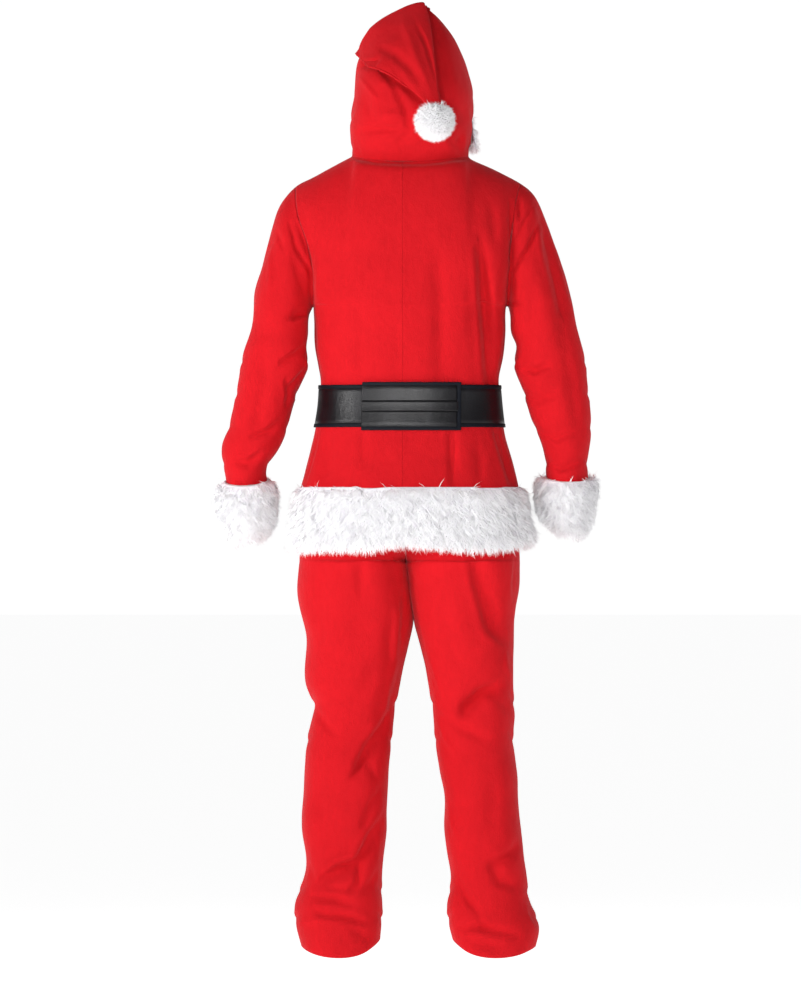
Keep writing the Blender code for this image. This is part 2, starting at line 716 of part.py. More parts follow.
def body_ring(cloth, z):
    """Points and normals round the jacket at a height, read on its flat facets."""
    points, normals = [], []
    for name, backwards in (("back_left", False), ("back_right", False),
                            ("front_right", False), ("front_left", False)):
        grid, normal = cloth.grids[name], cloth.normals[name]
        heights = grid[:, 0, 2]
        row = min(int(np.searchsorted(heights, z, side="right")) - 1, len(BODY_ROWS) - 2)
        share = (z - heights[row]) / (heights[row + 1] - heights[row])
        line = blend(grid[row], grid[row + 1], share)
        facing = blend(normal[row], normal[row + 1], share)
        points.append(line[:-1])
        normals.append(facing[:-1])
    return np.concatenate(points), np.concatenate(normals)


def moved_ring(cloth, z, off):
    points, normals = body_ring(cloth, z)
    moved = points + normals * off
    moved[:, 2] = z
    return moved


def band(name, cloth, low, high, near, far, look):
    """A band round the jacket, with a ring wherever the jacket has a row."""
    heights = heights_between(low, high)
    rings = [moved_ring(cloth, z, far) for z in heights]
    rings += [moved_ring(cloth, z, near) for z in reversed(heights)]
    looped(name, rings, look)


def heights_between(low, high):
    """The heights of a strip: its edges and each row of the jacket between them."""
    return [low, *sorted(z for z in BODY_ROWS if low < z < high), high]


def make_belt(cloth, vinyl, binding):
    for name, (low, high, near, far) in BELT.items():
        band(name, cloth, low, high, near, far, binding if "binding" in name else vinyl)
    across = (BELT_END_X[0], BELT_END_X[1] - END_BINDING - SEAM)
    low, high = BELT_END_Z[0] + END_BINDING, BELT_END_Z[1] - END_BINDING
    back_strip("belt_end", cloth, across, heights_between(low + SEAM, high - SEAM), BELT_END_OFF, vinyl)
    back_strip("belt_channel", cloth, across, heights_between(*CHANNEL_Z), CHANNEL_OFF, vinyl)
    heights = [BELT_END_Z[0], *heights_between(low, high), BELT_END_Z[1]]
    outer, inner = strip_grids(cloth, BELT_END_X, heights, END_BINDING_OFF,
                               [BELT_END_X[1] - END_BINDING])
    rows, columns = outer.shape[0] - 1, outer.shape[1] - 1
    keep = [[row in (0, rows - 1) or column == columns - 1 for column in range(columns)]
            for row in range(rows)]
    wall("belt_end_binding", outer, inner, binding, keep)


def strip_grids(cloth, across, heights, offs, extra=()):
    """Grids of a strip over the back, with a column wherever the jacket has one."""
    count = 2 * PANEL_CELLS + 1
    middle = body_ring(cloth, sum(heights) / len(heights))[0][:count, 0]
    ends = [*across, *extra]
    marks = [i for i in range(count) if across[0] < middle[i] < across[1]
             and min(abs(middle[i] - x) for x in ends) > COLUMN_AIR]
    grids = []
    for off in reversed(offs):
        rows = []
        for z in heights:
            points, normals = (values[:count] for values in body_ring(cloth, z))
            row = []
            for x in sorted([*ends, *points[marks, 0]]):
                spot = [np.interp(x, points[:, 0], points[:, k]) for k in range(3)]
                facing = [np.interp(x, points[:, 0], normals[:, k]) for k in range(3)]
                row.append([*(np.array(spot) + np.array(facing) * off)[:2], z])
            rows.append(row)
        grids.append(np.array(rows))
    return grids


def back_strip(name, cloth, across, heights, offs, look):
    outer, inner = strip_grids(cloth, across, heights, offs)
    return wall(name, outer, inner, look)


def make_hem(cloth, white):
    """The white band round the jacket's lower edge."""
    chance = np.random.default_rng(SEED)
    rings = []
    for off, z in HEM_PROFILE:
        if z > JACKET_END - SEAM / 2:
            points, normals = body_ring(cloth, z)
        else:
            points, normals = [], []
            for side, half in (("left", "back"), ("right", "back"),
                               ("right", "front"), ("left", "front")):
                shares = np.linspace(0, 1, PANEL_CELLS + 1)
                if (side == "left") != (half == "back"):
                    shares = shares[::-1]
                points += [section_point(BODY, BODY_CENTRE[half], side, half, u, z)
                           for u in shares[:-1]]
            points = np.array(points)
            normals = body_ring(cloth, JACKET_END)[1]
        ring = points + normals * off
        if z < HEM_LIFTED:
            lifts = np.array(HEM_LIFT, float)
            ring[:, 2] += np.interp(ring[:, 0], lifts[:, 0], lifts[:, 1])
        if off > HEM_EVEN_TO:
            ring += normals * chance.uniform(*HEM_UNEVEN, (len(ring), 1))
        rings.append(ring)
    looped("hem_fur", rings, white)


def make_cuff(cloth, side, white):
    """A white cuff: its pile laps the sleeve's edge, its hollow carries on the sleeve's."""
    name = f"sleeve_{side}"
    outer, normals = cloth.grids[name], cloth.normals[name]
    down = outer[-1] - outer[-2]
    down /= np.linalg.norm(down, axis=1, keepdims=True)
    edge = outer[-1] + down * SEAM / 2
    lap = blend(outer[-1], outer[-2], CUFF_OVERLAP)
    rings = [edge - normals[-1] * CLOTH, edge + normals[-1] * LAP_AIR,
             lap + blend(normals[-1], normals[-2], CUFF_OVERLAP) * LAP_AIR]
    turns = np.arange(2 * TOP_CELLS) / (2 * TOP_CELLS)
    if side == "right":
        turns = turns[::-1]
    for columns in CUFF_OUTSIDE[side] + CUFF_HOLLOW[side]:
        rings.append([ring_point(columns, turn) for turn in turns])
    looped(f"cuff_{side}", rings, white)


def face_edge(cloth):
    """The hood's face edge from the left of the throat, over the brow, to the right."""
    last = sum(1 for row in HOOD if row[6] > 0) + 1
    left, right = cloth.grids["hood_left"], cloth.grids["hood_right"][:, ::-1]
    facing, other = cloth.normals["hood_left"], cloth.normals["hood_right"][:, ::-1]
    points = np.concatenate([left[1:last + 1, 0], right[last - 1:0:-1, 0]])
    return points, np.concatenate([facing[1:last + 1, 0], other[last - 1:0:-1, 0]])


def laid_on(skin, spot, facing):
    """The hood's nearest point to a spot, and its normal on the side that faces out."""
    place, normal = skin.find_nearest(Vector(spot))[:2]
    normal = np.array(normal)
    return np.array(place), normal * math.copysign(1, normal @ facing)


def make_hood_fur(cloth, white):
    """The white trim round the hood's face edge, its section laid on the hood's surface."""
    skin = hood_skin(cloth)
    points, facings = face_edge(cloth)
    tangents = np.gradient(points, axis=0)
    tangents[[0, -1]] = (0, 0, 1)
    step, limit = TRIM_PROBE
    forwards = []
    for edge, facing, tangent in zip(points, facings, tangents):
        forward = unit(np.cross(tangent, facing))
        if skin.find_nearest(Vector(edge - forward * step))[3] > limit:
            forward = -forward
        forwards.append(forward)
    count = len(points)
    air = np.full(count, TRIM_AIR)
    beds = []
    for reach in (TRIM_WIDTH, TRIM_WIDTH / 2):
        beds.append([laid_on(skin, edge - forward * reach, facing)
                     for edge, forward, facing in zip(points, forwards, facings)])
    for bed in beds:
        for i in range(count - 1):
            span = (bed[i][0] + bed[i][1] * air[i] + bed[i + 1][0] + bed[i + 1][1] * air[i + 1]) / 2
            place, normal = laid_on(skin, span, facings[i])
            lack = TRIM_CLEAR - (span - place) @ normal
            air[i:i + 2] += max(lack, 0)
    beds.append(list(zip(points, facings)))
    sections = []
    for i, forward in enumerate(forwards):
        section = []
        for bed, ahead, out, lifted in TRIM_SECTION:
            place, normal = beds[bed][i]
            section.append(place + forward * ahead + normal * (out + air[i] * lifted))
        sections.append(section)
    rings = np.array(sections)
    size = rings.shape[1]
    faces = [[i * size + j, i * size + (j + 1) % size, (i + 1) * size + (j + 1) % size,
              (i + 1) * size + j] for i in range(count - 1) for j in range(size)]
    faces += [list(range(size)), [(count - 1) * size + j for j in range(size)]]
    make_object("hood_fur", rings.reshape(-1, 3), faces, white)


def make_pompom(white):
    """A round core with tapered locks all over, none where the hood's point meets it."""
    chance = np.random.default_rng(SEED)
    centre = Vector(POMPOM_CENTRE)
    body = bmesh.new()
    bmesh.ops.create_icosphere(body, subdivisions=2, radius=POMPOM_CORE)
    faces = [f for f in body.faces if f.calc_center_median().normalized().z < POMPOM_BARE]
    locks = bmesh.ops.extrude_discrete_faces(body, faces=faces)["faces"]
    for face in locks:
        middle = face.calc_center_median()
        facing = middle.normalized()
        pressed = max(0.0, facing.y)
        reach = POMPOM_REACH + (POMPOM_PRESSED - POMPOM_REACH) * pressed
        tip = facing * (reach - chance.uniform(0, POMPOM_UNEVEN) * (1 - pressed))
        for vertex in face.verts:
            vertex.co = tip + (vertex.co - middle) * LOCK_TIP
    points = [tuple(v.co + centre) for v in body.verts]
    polygons = [[v.index for v in face.verts] for face in body.faces]
    body.free()
    make_object("pompom", points, polygons, white)


def make_trousers(jacket, red):
    """Four leg panels sewn at sides, inseams and centre, and the waistband in the jacket."""
    cloth = Cloth()
    for side in ("left", "right"):
        for half in ("back", "front"):
            flip = (side == "left") == (half == "back")
            cloth.add(f"leg_{half}_{side}", leg_panel(side, half), flip=flip)
    cloth.settle_normals()
    cloth.press_folds(cloth.grids, FOLDS_BACK, -1)
    cloth.press_folds(cloth.grids, FOLDS_FRONT, 1)
    cloth.settle_normals()
    for name in cloth.grids:
        cloth_object(name, cloth, red)
    band("waistband", jacket, *WAISTBAND_Z, *WAISTBAND_OFF, red)


def main():
    for old in list(bpy.data.objects):
        bpy.data.objects.remove(old, do_unlink=True)
    red = material("red_fleece", RED, 0.9)
    white = material("white_pile", WHITE, 0.95)
    vinyl = material("black_vinyl", BLACK, 0.35)
    binding = material("black_binding", NAVY, 0.6)
    jacket = lay_jacket(red)
    make_hem(jacket, white)
    for side in ("left", "right"):
        make_cuff(jacket, side, white)
    make_hood_fur(jacket, white)
    make_pompom(white)
    make_belt(jacket, vinyl, binding)
    make_trousers(jacket, red)


main()
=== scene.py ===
import math

import bmesh
import bpy
import numpy as np
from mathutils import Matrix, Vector
from mathutils.kdtree import KDTree


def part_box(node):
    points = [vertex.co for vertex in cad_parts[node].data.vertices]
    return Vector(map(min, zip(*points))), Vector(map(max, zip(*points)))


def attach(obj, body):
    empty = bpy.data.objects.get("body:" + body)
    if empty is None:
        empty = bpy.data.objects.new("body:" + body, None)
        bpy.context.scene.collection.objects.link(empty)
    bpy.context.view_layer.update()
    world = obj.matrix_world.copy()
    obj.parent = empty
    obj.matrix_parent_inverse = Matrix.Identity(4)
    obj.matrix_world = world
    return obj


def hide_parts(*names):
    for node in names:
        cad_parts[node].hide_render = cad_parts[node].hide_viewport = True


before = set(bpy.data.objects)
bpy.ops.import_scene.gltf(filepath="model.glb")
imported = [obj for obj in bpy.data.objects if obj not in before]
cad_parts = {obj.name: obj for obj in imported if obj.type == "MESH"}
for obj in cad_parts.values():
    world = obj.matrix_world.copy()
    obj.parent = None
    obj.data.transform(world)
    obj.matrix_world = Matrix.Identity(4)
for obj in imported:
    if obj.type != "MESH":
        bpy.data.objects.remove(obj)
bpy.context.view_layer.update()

print("frame loaded:", len(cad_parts), "nodes")


class Wire:
    # wraps one node socket, so that sums on wires add Math nodes
    def __init__(self, tree, socket=None):
        self.tree, self.socket = tree, socket

    # one new node: its settings first, then the values or wires of its sockets
    def node(self, kind, settings=None, inputs=None, out=0):
        made = self.tree.nodes.new(kind)
        for name, value in (settings or {}).items():
            setattr(made, name, value)
        for name, value in (inputs or {}).items():
            for one in value if isinstance(value, list) else [value]:
                if isinstance(one, Wire):
                    self.tree.links.new(one.socket, made.inputs[name])
                else:
                    made.inputs[name].default_value = one
        return Wire(self.tree, made.outputs[out] if len(made.outputs) else None)

    def math(self, operation, *values):
        return self.node("ShaderNodeMath", {"operation": operation}, dict(enumerate(values)))

    def vector(self, operation, *values):
        return self.node("ShaderNodeVectorMath", {"operation": operation}, dict(enumerate(values)))

    def __add__(self, other):
        return self.math("ADD", self, other)

    def __sub__(self, other):
        return self.math("SUBTRACT", self, other)

    def __rsub__(self, other):
        return self.math("SUBTRACT", other, self)

    def __mul__(self, other):
        return self.math("MULTIPLY", self, other)

    __radd__ = __add__
    __rmul__ = __mul__

    def size(self):
        return self.math("ABSOLUTE", self)

    # 0 below the first value, 1 above the second, smooth between
    def step(self, low, high):
        return self.node("ShaderNodeMapRange", {"interpolation_type": "SMOOTHSTEP"},
                         {"Value": self, "From Min": low, "From Max": high})

    def mix(self, share, first, second):
        return self.node("ShaderNodeMix", {"data_type": "RGBA"}, {0: share, 6: first, 7: second}, 2)

    def noise(self, place, scale, detail=2.0, stretch=None):
        if stretch:
            place = self.vector("MULTIPLY", place, stretch)
        return self.node("ShaderNodeTexNoise", None,
                         {"Vector": place, "Scale": scale, "Detail": detail}, "Fac")


def newLook(name, constants):
    look = bpy.data.materials.new(name)
    look.use_nodes = True
    shader = look.node_tree.nodes["Principled BSDF"]
    for socket, value in constants.items():
        shader.inputs[socket].default_value = value
    return look, shader, Wire(look.node_tree)


def plug(shader, links):
    for socket, wire in links.items():
        wire.tree.links.new(wire.socket, shader.inputs[socket])


fleece = {
    "deep": (0.46, 0.005, 0.009, 1), "lit": (0.68, 0.009, 0.0155, 1), "seam": (0.25, 0.002, 0.004, 1),
    "cloudScale": 16, "brushScale": 120, "napScale": 520, "rippleScale": 26, "puckerScale": 90,
    "cloudShare": 0.45, "brushShare": 0.35, "napShare": 0.35, "litLess": 0.08,
    "napHeight": 0.0011, "brushHeight": 0.0009, "rippleHeight": 0.0032,
    "seamHalf": 0.0018, "seamShadeShare": 0.3, "seamDepth": 0.0005, "pucker": 0.012, "puckerHeight": 0.0012,
    "rough": 0.84, "roughSpread": 0.12, "bump": 0.8,
    "constants": {"Sheen Weight": 0.16, "Sheen Roughness": 0.35, "Sheen Tint": (1, 0.42, 0.45, 1),
                  "Specular IOR Level": 0.1},
}


def fleeceLook():
    look, shader, start = newLook("redFleece", fleece["constants"])
    place = start.node("ShaderNodeTexCoord", out="Object")
    away = start.node("ShaderNodeAttribute", {"attribute_name": "seamAway"}, out="Fac")
    cloud = start.noise(place, fleece["cloudScale"], 3)
    brushed = start.noise(place, fleece["brushScale"], 3, (1, 1, 0.35))
    nap = start.noise(place, fleece["napScale"], 3, (1, 1, 0.6))
    groove = 1 - away.step(0, fleece["seamHalf"])
    puckered = (1 - away.step(0, fleece["pucker"])) * start.noise(place, fleece["puckerScale"], 1)
    ripple = start.noise(place, fleece["rippleScale"], 2)
    share = (cloud * fleece["cloudShare"] + brushed * fleece["brushShare"] + nap * fleece["napShare"]
             - fleece["litLess"])
    colour = start.mix(share, fleece["deep"], fleece["lit"])
    # painted shade darkens the colour along the seams' grooves, besides their bump
    colour = start.mix(groove * fleece["seamShadeShare"], colour, fleece["seam"])
    height = (nap * fleece["napHeight"] + brushed * fleece["brushHeight"] + ripple * fleece["rippleHeight"]
              - groove * fleece["seamDepth"] + puckered * fleece["puckerHeight"])
    bump = start.node("ShaderNodeBump", None,
                      {"Strength": fleece["bump"], "Distance": 1.0, "Height": height})
    rough = nap * fleece["roughSpread"] + fleece["rough"]
    plug(shader, {"Base Color": colour, "Roughness": rough, "Normal": bump})
    return look


pileFinish = {
    "root": (0.92, 0.90, 0.94, 1), "tip": (0.985, 0.985, 0.99, 1), "shadow": (0.92, 0.90, 0.94, 1),
    "tipFrom": 0.55, "shadowShare": 0.35,
    "constants": {"Roughness": 0.75, "Specular IOR Level": 0.2, "Sheen Weight": 0.15},
}


def pileLook():
    look, shader, start = newLook("whitePile", pileFinish["constants"])
    tip = start.node("ShaderNodeAttribute", {"attribute_name": "tip"}, out="Fac")
    tone = start.node("ShaderNodeAttribute", {"attribute_name": "tone"}, out="Fac")
    # the greyer root colour is painted shade deep in the pile, and the shadow colour on a random share of
    # the locks is painted shade
    whole = start.mix(tip.step(0, pileFinish["tipFrom"]), pileFinish["root"], pileFinish["tip"])
    colour = start.mix(tone * pileFinish["shadowShare"], whole, pileFinish["shadow"])
    plug(shader, {"Base Color": colour})
    return look


vinyl = {
    "base": (0.004, 0.0036, 0.005, 1), "worn": (0.010, 0.0095, 0.012, 1), "slot": (0.001, 0.001, 0.0015, 1),
    "pebbleScale": 900.0, "waveScale": 28, "fineScale": 240, "wornFrom": 0.45, "wornTo": 0.75,
    "pebbleHeight": 0.00022, "waveHeight": 0.0018, "fineHeight": 0.00025,
    "slotHalf": 0.0026, "slotCore": 0.4, "slotEnd": 0.003, "slotDepth": 0.0012, "slotRough": 0.4,
    "rough": 0.27, "roughSpread": 0.16, "bump": 0.9,
    "constants": {"Specular IOR Level": 0.26},
}


# black vinyl; the slots are the sunk lines along the upper and lower edge of the raised channel, darkened
# with painted shade
def vinylLook(name, slots=None):
    look, shader, start = newLook(name, vinyl["constants"])
    place = start.node("ShaderNodeTexCoord", out="Object")
    pebble = start.node("ShaderNodeTexVoronoi", {"feature": "SMOOTH_F1"},
                        {"Vector": place, "Scale": vinyl["pebbleScale"]}, "Distance")
    wave = start.noise(place, vinyl["waveScale"], 2, (1, 1, 0.5))
    fine = start.noise(place, vinyl["fineScale"], 2)
    colour = start.mix(wave.step(vinyl["wornFrom"], vinyl["wornTo"]), vinyl["base"], vinyl["worn"])
    height = pebble * vinyl["pebbleHeight"] + wave * vinyl["waveHeight"] + fine * vinyl["fineHeight"]
    rough = wave * vinyl["roughSpread"] + vinyl["rough"]
    if slots:
        low, high = slots
        x, z = (start.node("ShaderNodeSeparateXYZ", None, {"Vector": place}, axis) for axis in "XZ")
        away = start.math("MINIMUM", (z - low.z).size(), (z - high.z).size())
        end = vinyl["slotEnd"]
        along = x.step(low.x - end, low.x) * (1 - x.step(high.x, high.x + end))
        slot = (1 - away.step(vinyl["slotHalf"] * vinyl["slotCore"], vinyl["slotHalf"])) * along
        # painted shade in the sunk slots
        colour = start.mix(slot, colour, vinyl["slot"])
        height = height - slot * vinyl["slotDepth"]
        rough = rough + slot * vinyl["slotRough"]
    bump = start.node("ShaderNodeBump", None,
                      {"Strength": vinyl["bump"], "Distance": 1.0, "Height": height})
    plug(shader, {"Base Color": colour, "Roughness": rough, "Normal": bump})
    return look


binding = {
    "base": (0.002, 0.003, 0.006, 1), "rib": (0.006, 0.008, 0.014, 1),
    "ribScale": 700, "ribHeight": 0.0005, "rough": 0.5, "roughSpread": 0.2, "bump": 0.8,
    "constants": {"Specular IOR Level": 0.12},
}


def bindingLook():
    look, shader, start = newLook("blackBinding", binding["constants"])
    place = start.node("ShaderNodeTexCoord", out="Object")
    ribs = start.noise(place, binding["ribScale"], 1, (1, 1, 0.15))
    colour = start.mix(ribs, binding["base"], binding["rib"])
    bump = start.node("ShaderNodeBump", None,
                      {"Strength": binding["bump"], "Distance": 1.0, "Height": ribs * binding["ribHeight"]})
    rough = ribs * binding["roughSpread"] + binding["rough"]
    plug(shader, {"Base Color": colour, "Roughness": rough, "Normal": bump})
    return look


redFleece, whitePile, blackBinding = fleeceLook(), pileLook(), bindingLook()
blackVinyl = vinylLook("blackVinyl")
slottedVinyl = vinylLook("slottedVinyl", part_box("belt_channel"))
print("finishes made")


def newObject(name, mesh, look):
    if not mesh.materials:
        mesh.materials.append(look)
    obj = bpy.data.objects.new(name, mesh)
    bpy.context.scene.collection.objects.link(obj)
    return obj


def toMesh(form, name):
    mesh = bpy.data.meshes.new(name)
    form.to_mesh(mesh)
    form.free()
    mesh.shade_smooth()
    return mesh


# the mesh as its modifiers leave it
def settled(obj):
    mesh = bpy.data.meshes.new_from_object(obj.evaluated_get(bpy.context.evaluated_depsgraph_get()))
    old = obj.data
    obj.modifiers.clear()
    obj.data = mesh
    bpy.data.meshes.remove(old)
    return obj


mergeWithin = 0.00004


# a CAD node's copy with its doubles merged
def mergedNode(name):
    form = bmesh.new()
    form.from_mesh(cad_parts[name].data)
    bmesh.ops.remove_doubles(form, verts=form.verts, dist=mergeWithin)
    return form


def joinQuads(form):
    bmesh.ops.join_triangles(form, faces=form.faces, angle_face_threshold=math.pi,
                             angle_shape_threshold=math.pi)


# the groups of faces that hang together
def islands(form):
    left, found = set(form.faces), []
    while left:
        grown, edge = set(), [left.pop()]
        while edge:
            face = edge.pop()
            grown.add(face)
            for near in (f for e in face.edges for f in e.link_faces if f in left):
                left.discard(near)
                edge.append(near)
        found.append(grown)
    return found


clothCut = {
    "wall": 0.002, "rimWithin": 0.00003, "seamGap": 0.0007, "seamReach": 0.03, "levels": 3,
    "unevenSize": 0.085, "unevenDepth": 0.005,
}


# the outer walls of some panels, sewn into one surface; each face keeps its panel's number
def sewn(names):
    whole = bmesh.new()
    panel = whole.faces.layers.int.new("panel")
    for number, name in enumerate(names):
        part = mergedNode(name)
        short = [e for e in part.edges if abs(e.calc_length() - clothCut["wall"]) < clothCut["rimWithin"]]
        rim = {f for e in short for f in e.link_faces}
        bmesh.ops.delete(part, geom=list(rim), context="FACES")
        walls = sorted(islands(part), key=lambda faces: sum(f.calc_area() for f in faces))
        bmesh.ops.delete(part, geom=[f for w in walls[:-1] for f in w], context="FACES")
        joinQuads(part)
        loose = sum(1 for f in part.faces if len(f.verts) == 3)
        if len(walls) != 2 or loose:
            print("  check", name, len(walls), "islands", loose, "triangles")
        start = len(whole.faces)
        mesh = toMesh(part, "panel")
        whole.from_mesh(mesh)
        bpy.data.meshes.remove(mesh)
        whole.faces.ensure_lookup_table()
        for face in whole.faces[start:]:
            face[panel] = number
    edges = [v for v in whole.verts if v.is_boundary]
    bmesh.ops.remove_doubles(whole, verts=edges, dist=clothCut["seamGap"])
    return whole


def pointsOf(mesh, what="co"):
    values = np.zeros(len(mesh.vertices) * 3, np.float32)
    if what == "co":
        mesh.vertices.foreach_get("co", values)
    else:
        mesh.vertex_normals.foreach_get("vector", values)
    return values.reshape(-1, 3).astype(float)


def movePoints(mesh, points):
    mesh.vertices.foreach_set("co", points.astype(np.float32).ravel())
    mesh.update()


regain = {"rounds": 3, "share": 0.9}


# subdivides a surface whose points are first pushed out, so that smoothing brings them back to their places
def refined(form, name, levels, look):
    obj = newObject(name, toMesh(form, name), look)
    smooth = obj.modifiers.new("smooth", "SUBSURF")
    smooth.levels = smooth.render_levels = levels
    aim = pointsOf(obj.data)
    for turn in range(regain["rounds"]):
        reached = bpy.data.meshes.new_from_object(obj.evaluated_get(bpy.context.evaluated_depsgraph_get()))
        short = aim - pointsOf(reached)[:len(aim)]
        bpy.data.meshes.remove(reached)
        movePoints(obj.data, pointsOf(obj.data) + short * regain["share"])
    return settled(obj)


# writes on every point how far the nearest seam between two panels is, apart from the hidden pairs
def markSeams(obj, hidden=()):
    form = bmesh.new()
    form.from_mesh(obj.data)
    panel = form.faces.layers.int["panel"]
    seams = [e for e in form.edges if len(e.link_faces) == 2
             and e.link_faces[0][panel] != e.link_faces[1][panel]
             and {e.link_faces[0][panel], e.link_faces[1][panel]} not in hidden]
    spots = [v.co.copy() for e in seams for v in e.verts]
    spots += [(e.verts[0].co + e.verts[1].co) / 2 for e in seams]
    form.free()
    tree = KDTree(len(spots))
    for number, spot in enumerate(spots):
        tree.insert(spot, number)
    tree.balance()
    mark = obj.data.attributes.new("seamAway", "FLOAT", "POINT")
    away = [min(tree.find(v.co)[2], clothCut["seamReach"]) for v in obj.data.vertices]
    mark.data.foreach_set("value", np.array(away, np.float32))


# smooths a surface round some places, given in mm (across, up) for its back and front alike
def easeAt(obj, kinks):
    form = bmesh.new()
    form.from_mesh(obj.data)
    places = [(x / 1000, z / 1000) for x, z in kinks["places"]]
    near = [v for v in form.verts
            if min(math.hypot(v.co.x - x, v.co.z - z) for x, z in places) < kinks["radius"] / 1000]
    for turn in range(kinks["rounds"]):
        bmesh.ops.smooth_vert(form, verts=near, factor=0.5,
                              use_axis_x=True, use_axis_y=True, use_axis_z=True)
    form.to_mesh(obj.data)
    form.free()


# 1 on the points of some panels, 0 on the others
def inPanels(mesh, numbers):
    owner, corners = np.zeros(len(mesh.polygons), np.int32), np.zeros(len(mesh.loops), np.int32)
    sides = np.zeros(len(mesh.polygons), np.int32)
    mesh.attributes["panel"].data.foreach_get("value", owner)
    mesh.polygons.foreach_get("loop_total", sides)
    mesh.loops.foreach_get("vertex_index", corners)
    found = np.zeros(len(mesh.vertices))
    found[corners[np.repeat(np.isin(owner, list(numbers)), sides)]] = 1
    return found


foldShape = {
    "deepen": 1.9, "reach": 3, "lip": 0.3, "lipFrom": 1.7, "lipBelow": 0.6,
    "ends": 0.35, "fade": 0.7, "facing": 1.8, "aside": 0.25,
}


# the points near a fold's route, and how deep it sinks them
def foldDepth(flat, weight, fold, deepen):
    route, left, right, sink = fold
    route = np.array(route, float)
    steps = np.diff(route, axis=0)
    lengths = np.linalg.norm(steps, axis=1)
    reach = np.concatenate([[0], np.cumsum(lengths)])
    wide = foldShape["reach"] * max(left, right)
    low, high = route.min(0) - wide, route.max(0) + wide
    near = np.flatnonzero((weight > 0) & (flat >= low).all(1) & (flat <= high).all(1))
    best, side, place = np.full(len(near), 1e9), np.zeros(len(near)), np.zeros(len(near))
    for start, step, length, begun in zip(route, steps, lengths, reach):
        off = flat[near] - start
        spot = np.clip(off @ step / (length * length), 0, 1)
        gap = off - spot[:, None] * step
        away = np.linalg.norm(gap, axis=1)
        closer = away < best
        best = np.where(closer, away, best)
        side = np.where(closer, step[0] * gap[:, 1] - step[1] * gap[:, 0], side)
        place = np.where(closer, (begun + spot * length) / reach[-1], place)
    sunk = np.exp(-((best / np.where(side > 0, left, right)) ** 2))
    steep = min(left, right)
    if steep < foldShape["lipBelow"] * max(left, right):
        lapped = (side > 0) == (left < right)
        sunk -= foldShape["lip"] * lapped * np.exp(-((best / steep - foldShape["lipFrom"]) ** 2))
    whole = np.sin(np.pi * np.clip(place, 0, 1)) ** foldShape["fade"]
    fade = foldShape["ends"] + (1 - foldShape["ends"]) * whole
    return near, deepen * sink * sunk * fade


# sinks listed folds into the side of a surface that faces one way along an axis. Each has its route
# in mm (across, up), the width of its flank to the left and to the right of the way it runs, and its depth,
# which is negative for a ridge. A flank much steeper than the other gets a raised lip, as lapping cloth has
def pressFolds(obj, folds, axis, facing, numbers, deepen=foldShape["deepen"]):
    points, normals = pointsOf(obj.data) * 1000, pointsOf(obj.data, "normal")
    weight = np.clip(normals[:, axis] * facing * foldShape["facing"], 0, 1) * inPanels(obj.data, numbers)
    depth = np.zeros(len(points))
    flat = points[:, [1 - axis, 2]]
    for fold in folds:
        near, sunk = foldDepth(flat, weight, fold, deepen)
        depth[near] += sunk
    push = normals * foldShape["aside"]  # sideways moves would fold tight places over
    push[:, axis] = normals[:, axis]
    movePoints(obj.data, (points - push * (depth * weight)[:, None]) / 1000)


# slight unevenness that no sewn cloth is without
def unevenCloth(obj):
    cloud = bpy.data.textures.new("unevenCloth", "CLOUDS")
    cloud.noise_scale, cloud.noise_depth = clothCut["unevenSize"], 1
    push = obj.modifiers.new("uneven", "DISPLACE")
    push.texture, push.strength, push.mid_level = cloud, clothCut["unevenDepth"], 0.5
    settled(obj)


# the share of a sewn surface that belongs to some panels, as a piece of its own with a wall
def cutPiece(whole, name, numbers, look):
    form = bmesh.new()
    form.from_mesh(whole.data)
    panel = form.faces.layers.int["panel"]
    others = [f for f in form.faces if f[panel] not in numbers]
    bmesh.ops.delete(form, geom=others, context="FACES")
    print("  ", name, "cloth", round(sum(f.calc_area() for f in form.faces), 4), "m2")
    piece = newObject(name, toMesh(form, name), look)
    wall = piece.modifiers.new("wall", "SOLIDIFY")
    wall.thickness, wall.offset = clothCut["wall"], -1
    return piece


bodyPanels = ["back_left", "back_right", "front_left", "front_right"]
jacketPanels = bodyPanels + ["sleeve_left", "sleeve_right", "hood_left", "hood_right", "hood_point"]
legPanels = ["leg_back_left", "leg_front_left", "leg_back_right", "leg_front_right"]

# the panels' numbers, which are their places in the lists above
bodyNumbers, sleeveNumbers, hoodNumbers, pointNumbers = {0, 1, 2, 3}, {4, 5}, {6, 7}, {8}
leftLegNumbers, rightLegNumbers = {0, 1}, {2, 3}
legNumbers = leftLegNumbers | rightLegNumbers
hiddenSeams = [{6, 7}, {0, 6}, {1, 7}, {2, 6}, {3, 7}]  # the hood's own, and the neck's
underarmKinks = {"places": [(144, -242), (158, -254), (171, -256)], "radius": 11, "rounds": 7}
sideDeepen = {"sleeve": 0.5, "body": 0.8, "hood": 0.6, "leg": 0.4}

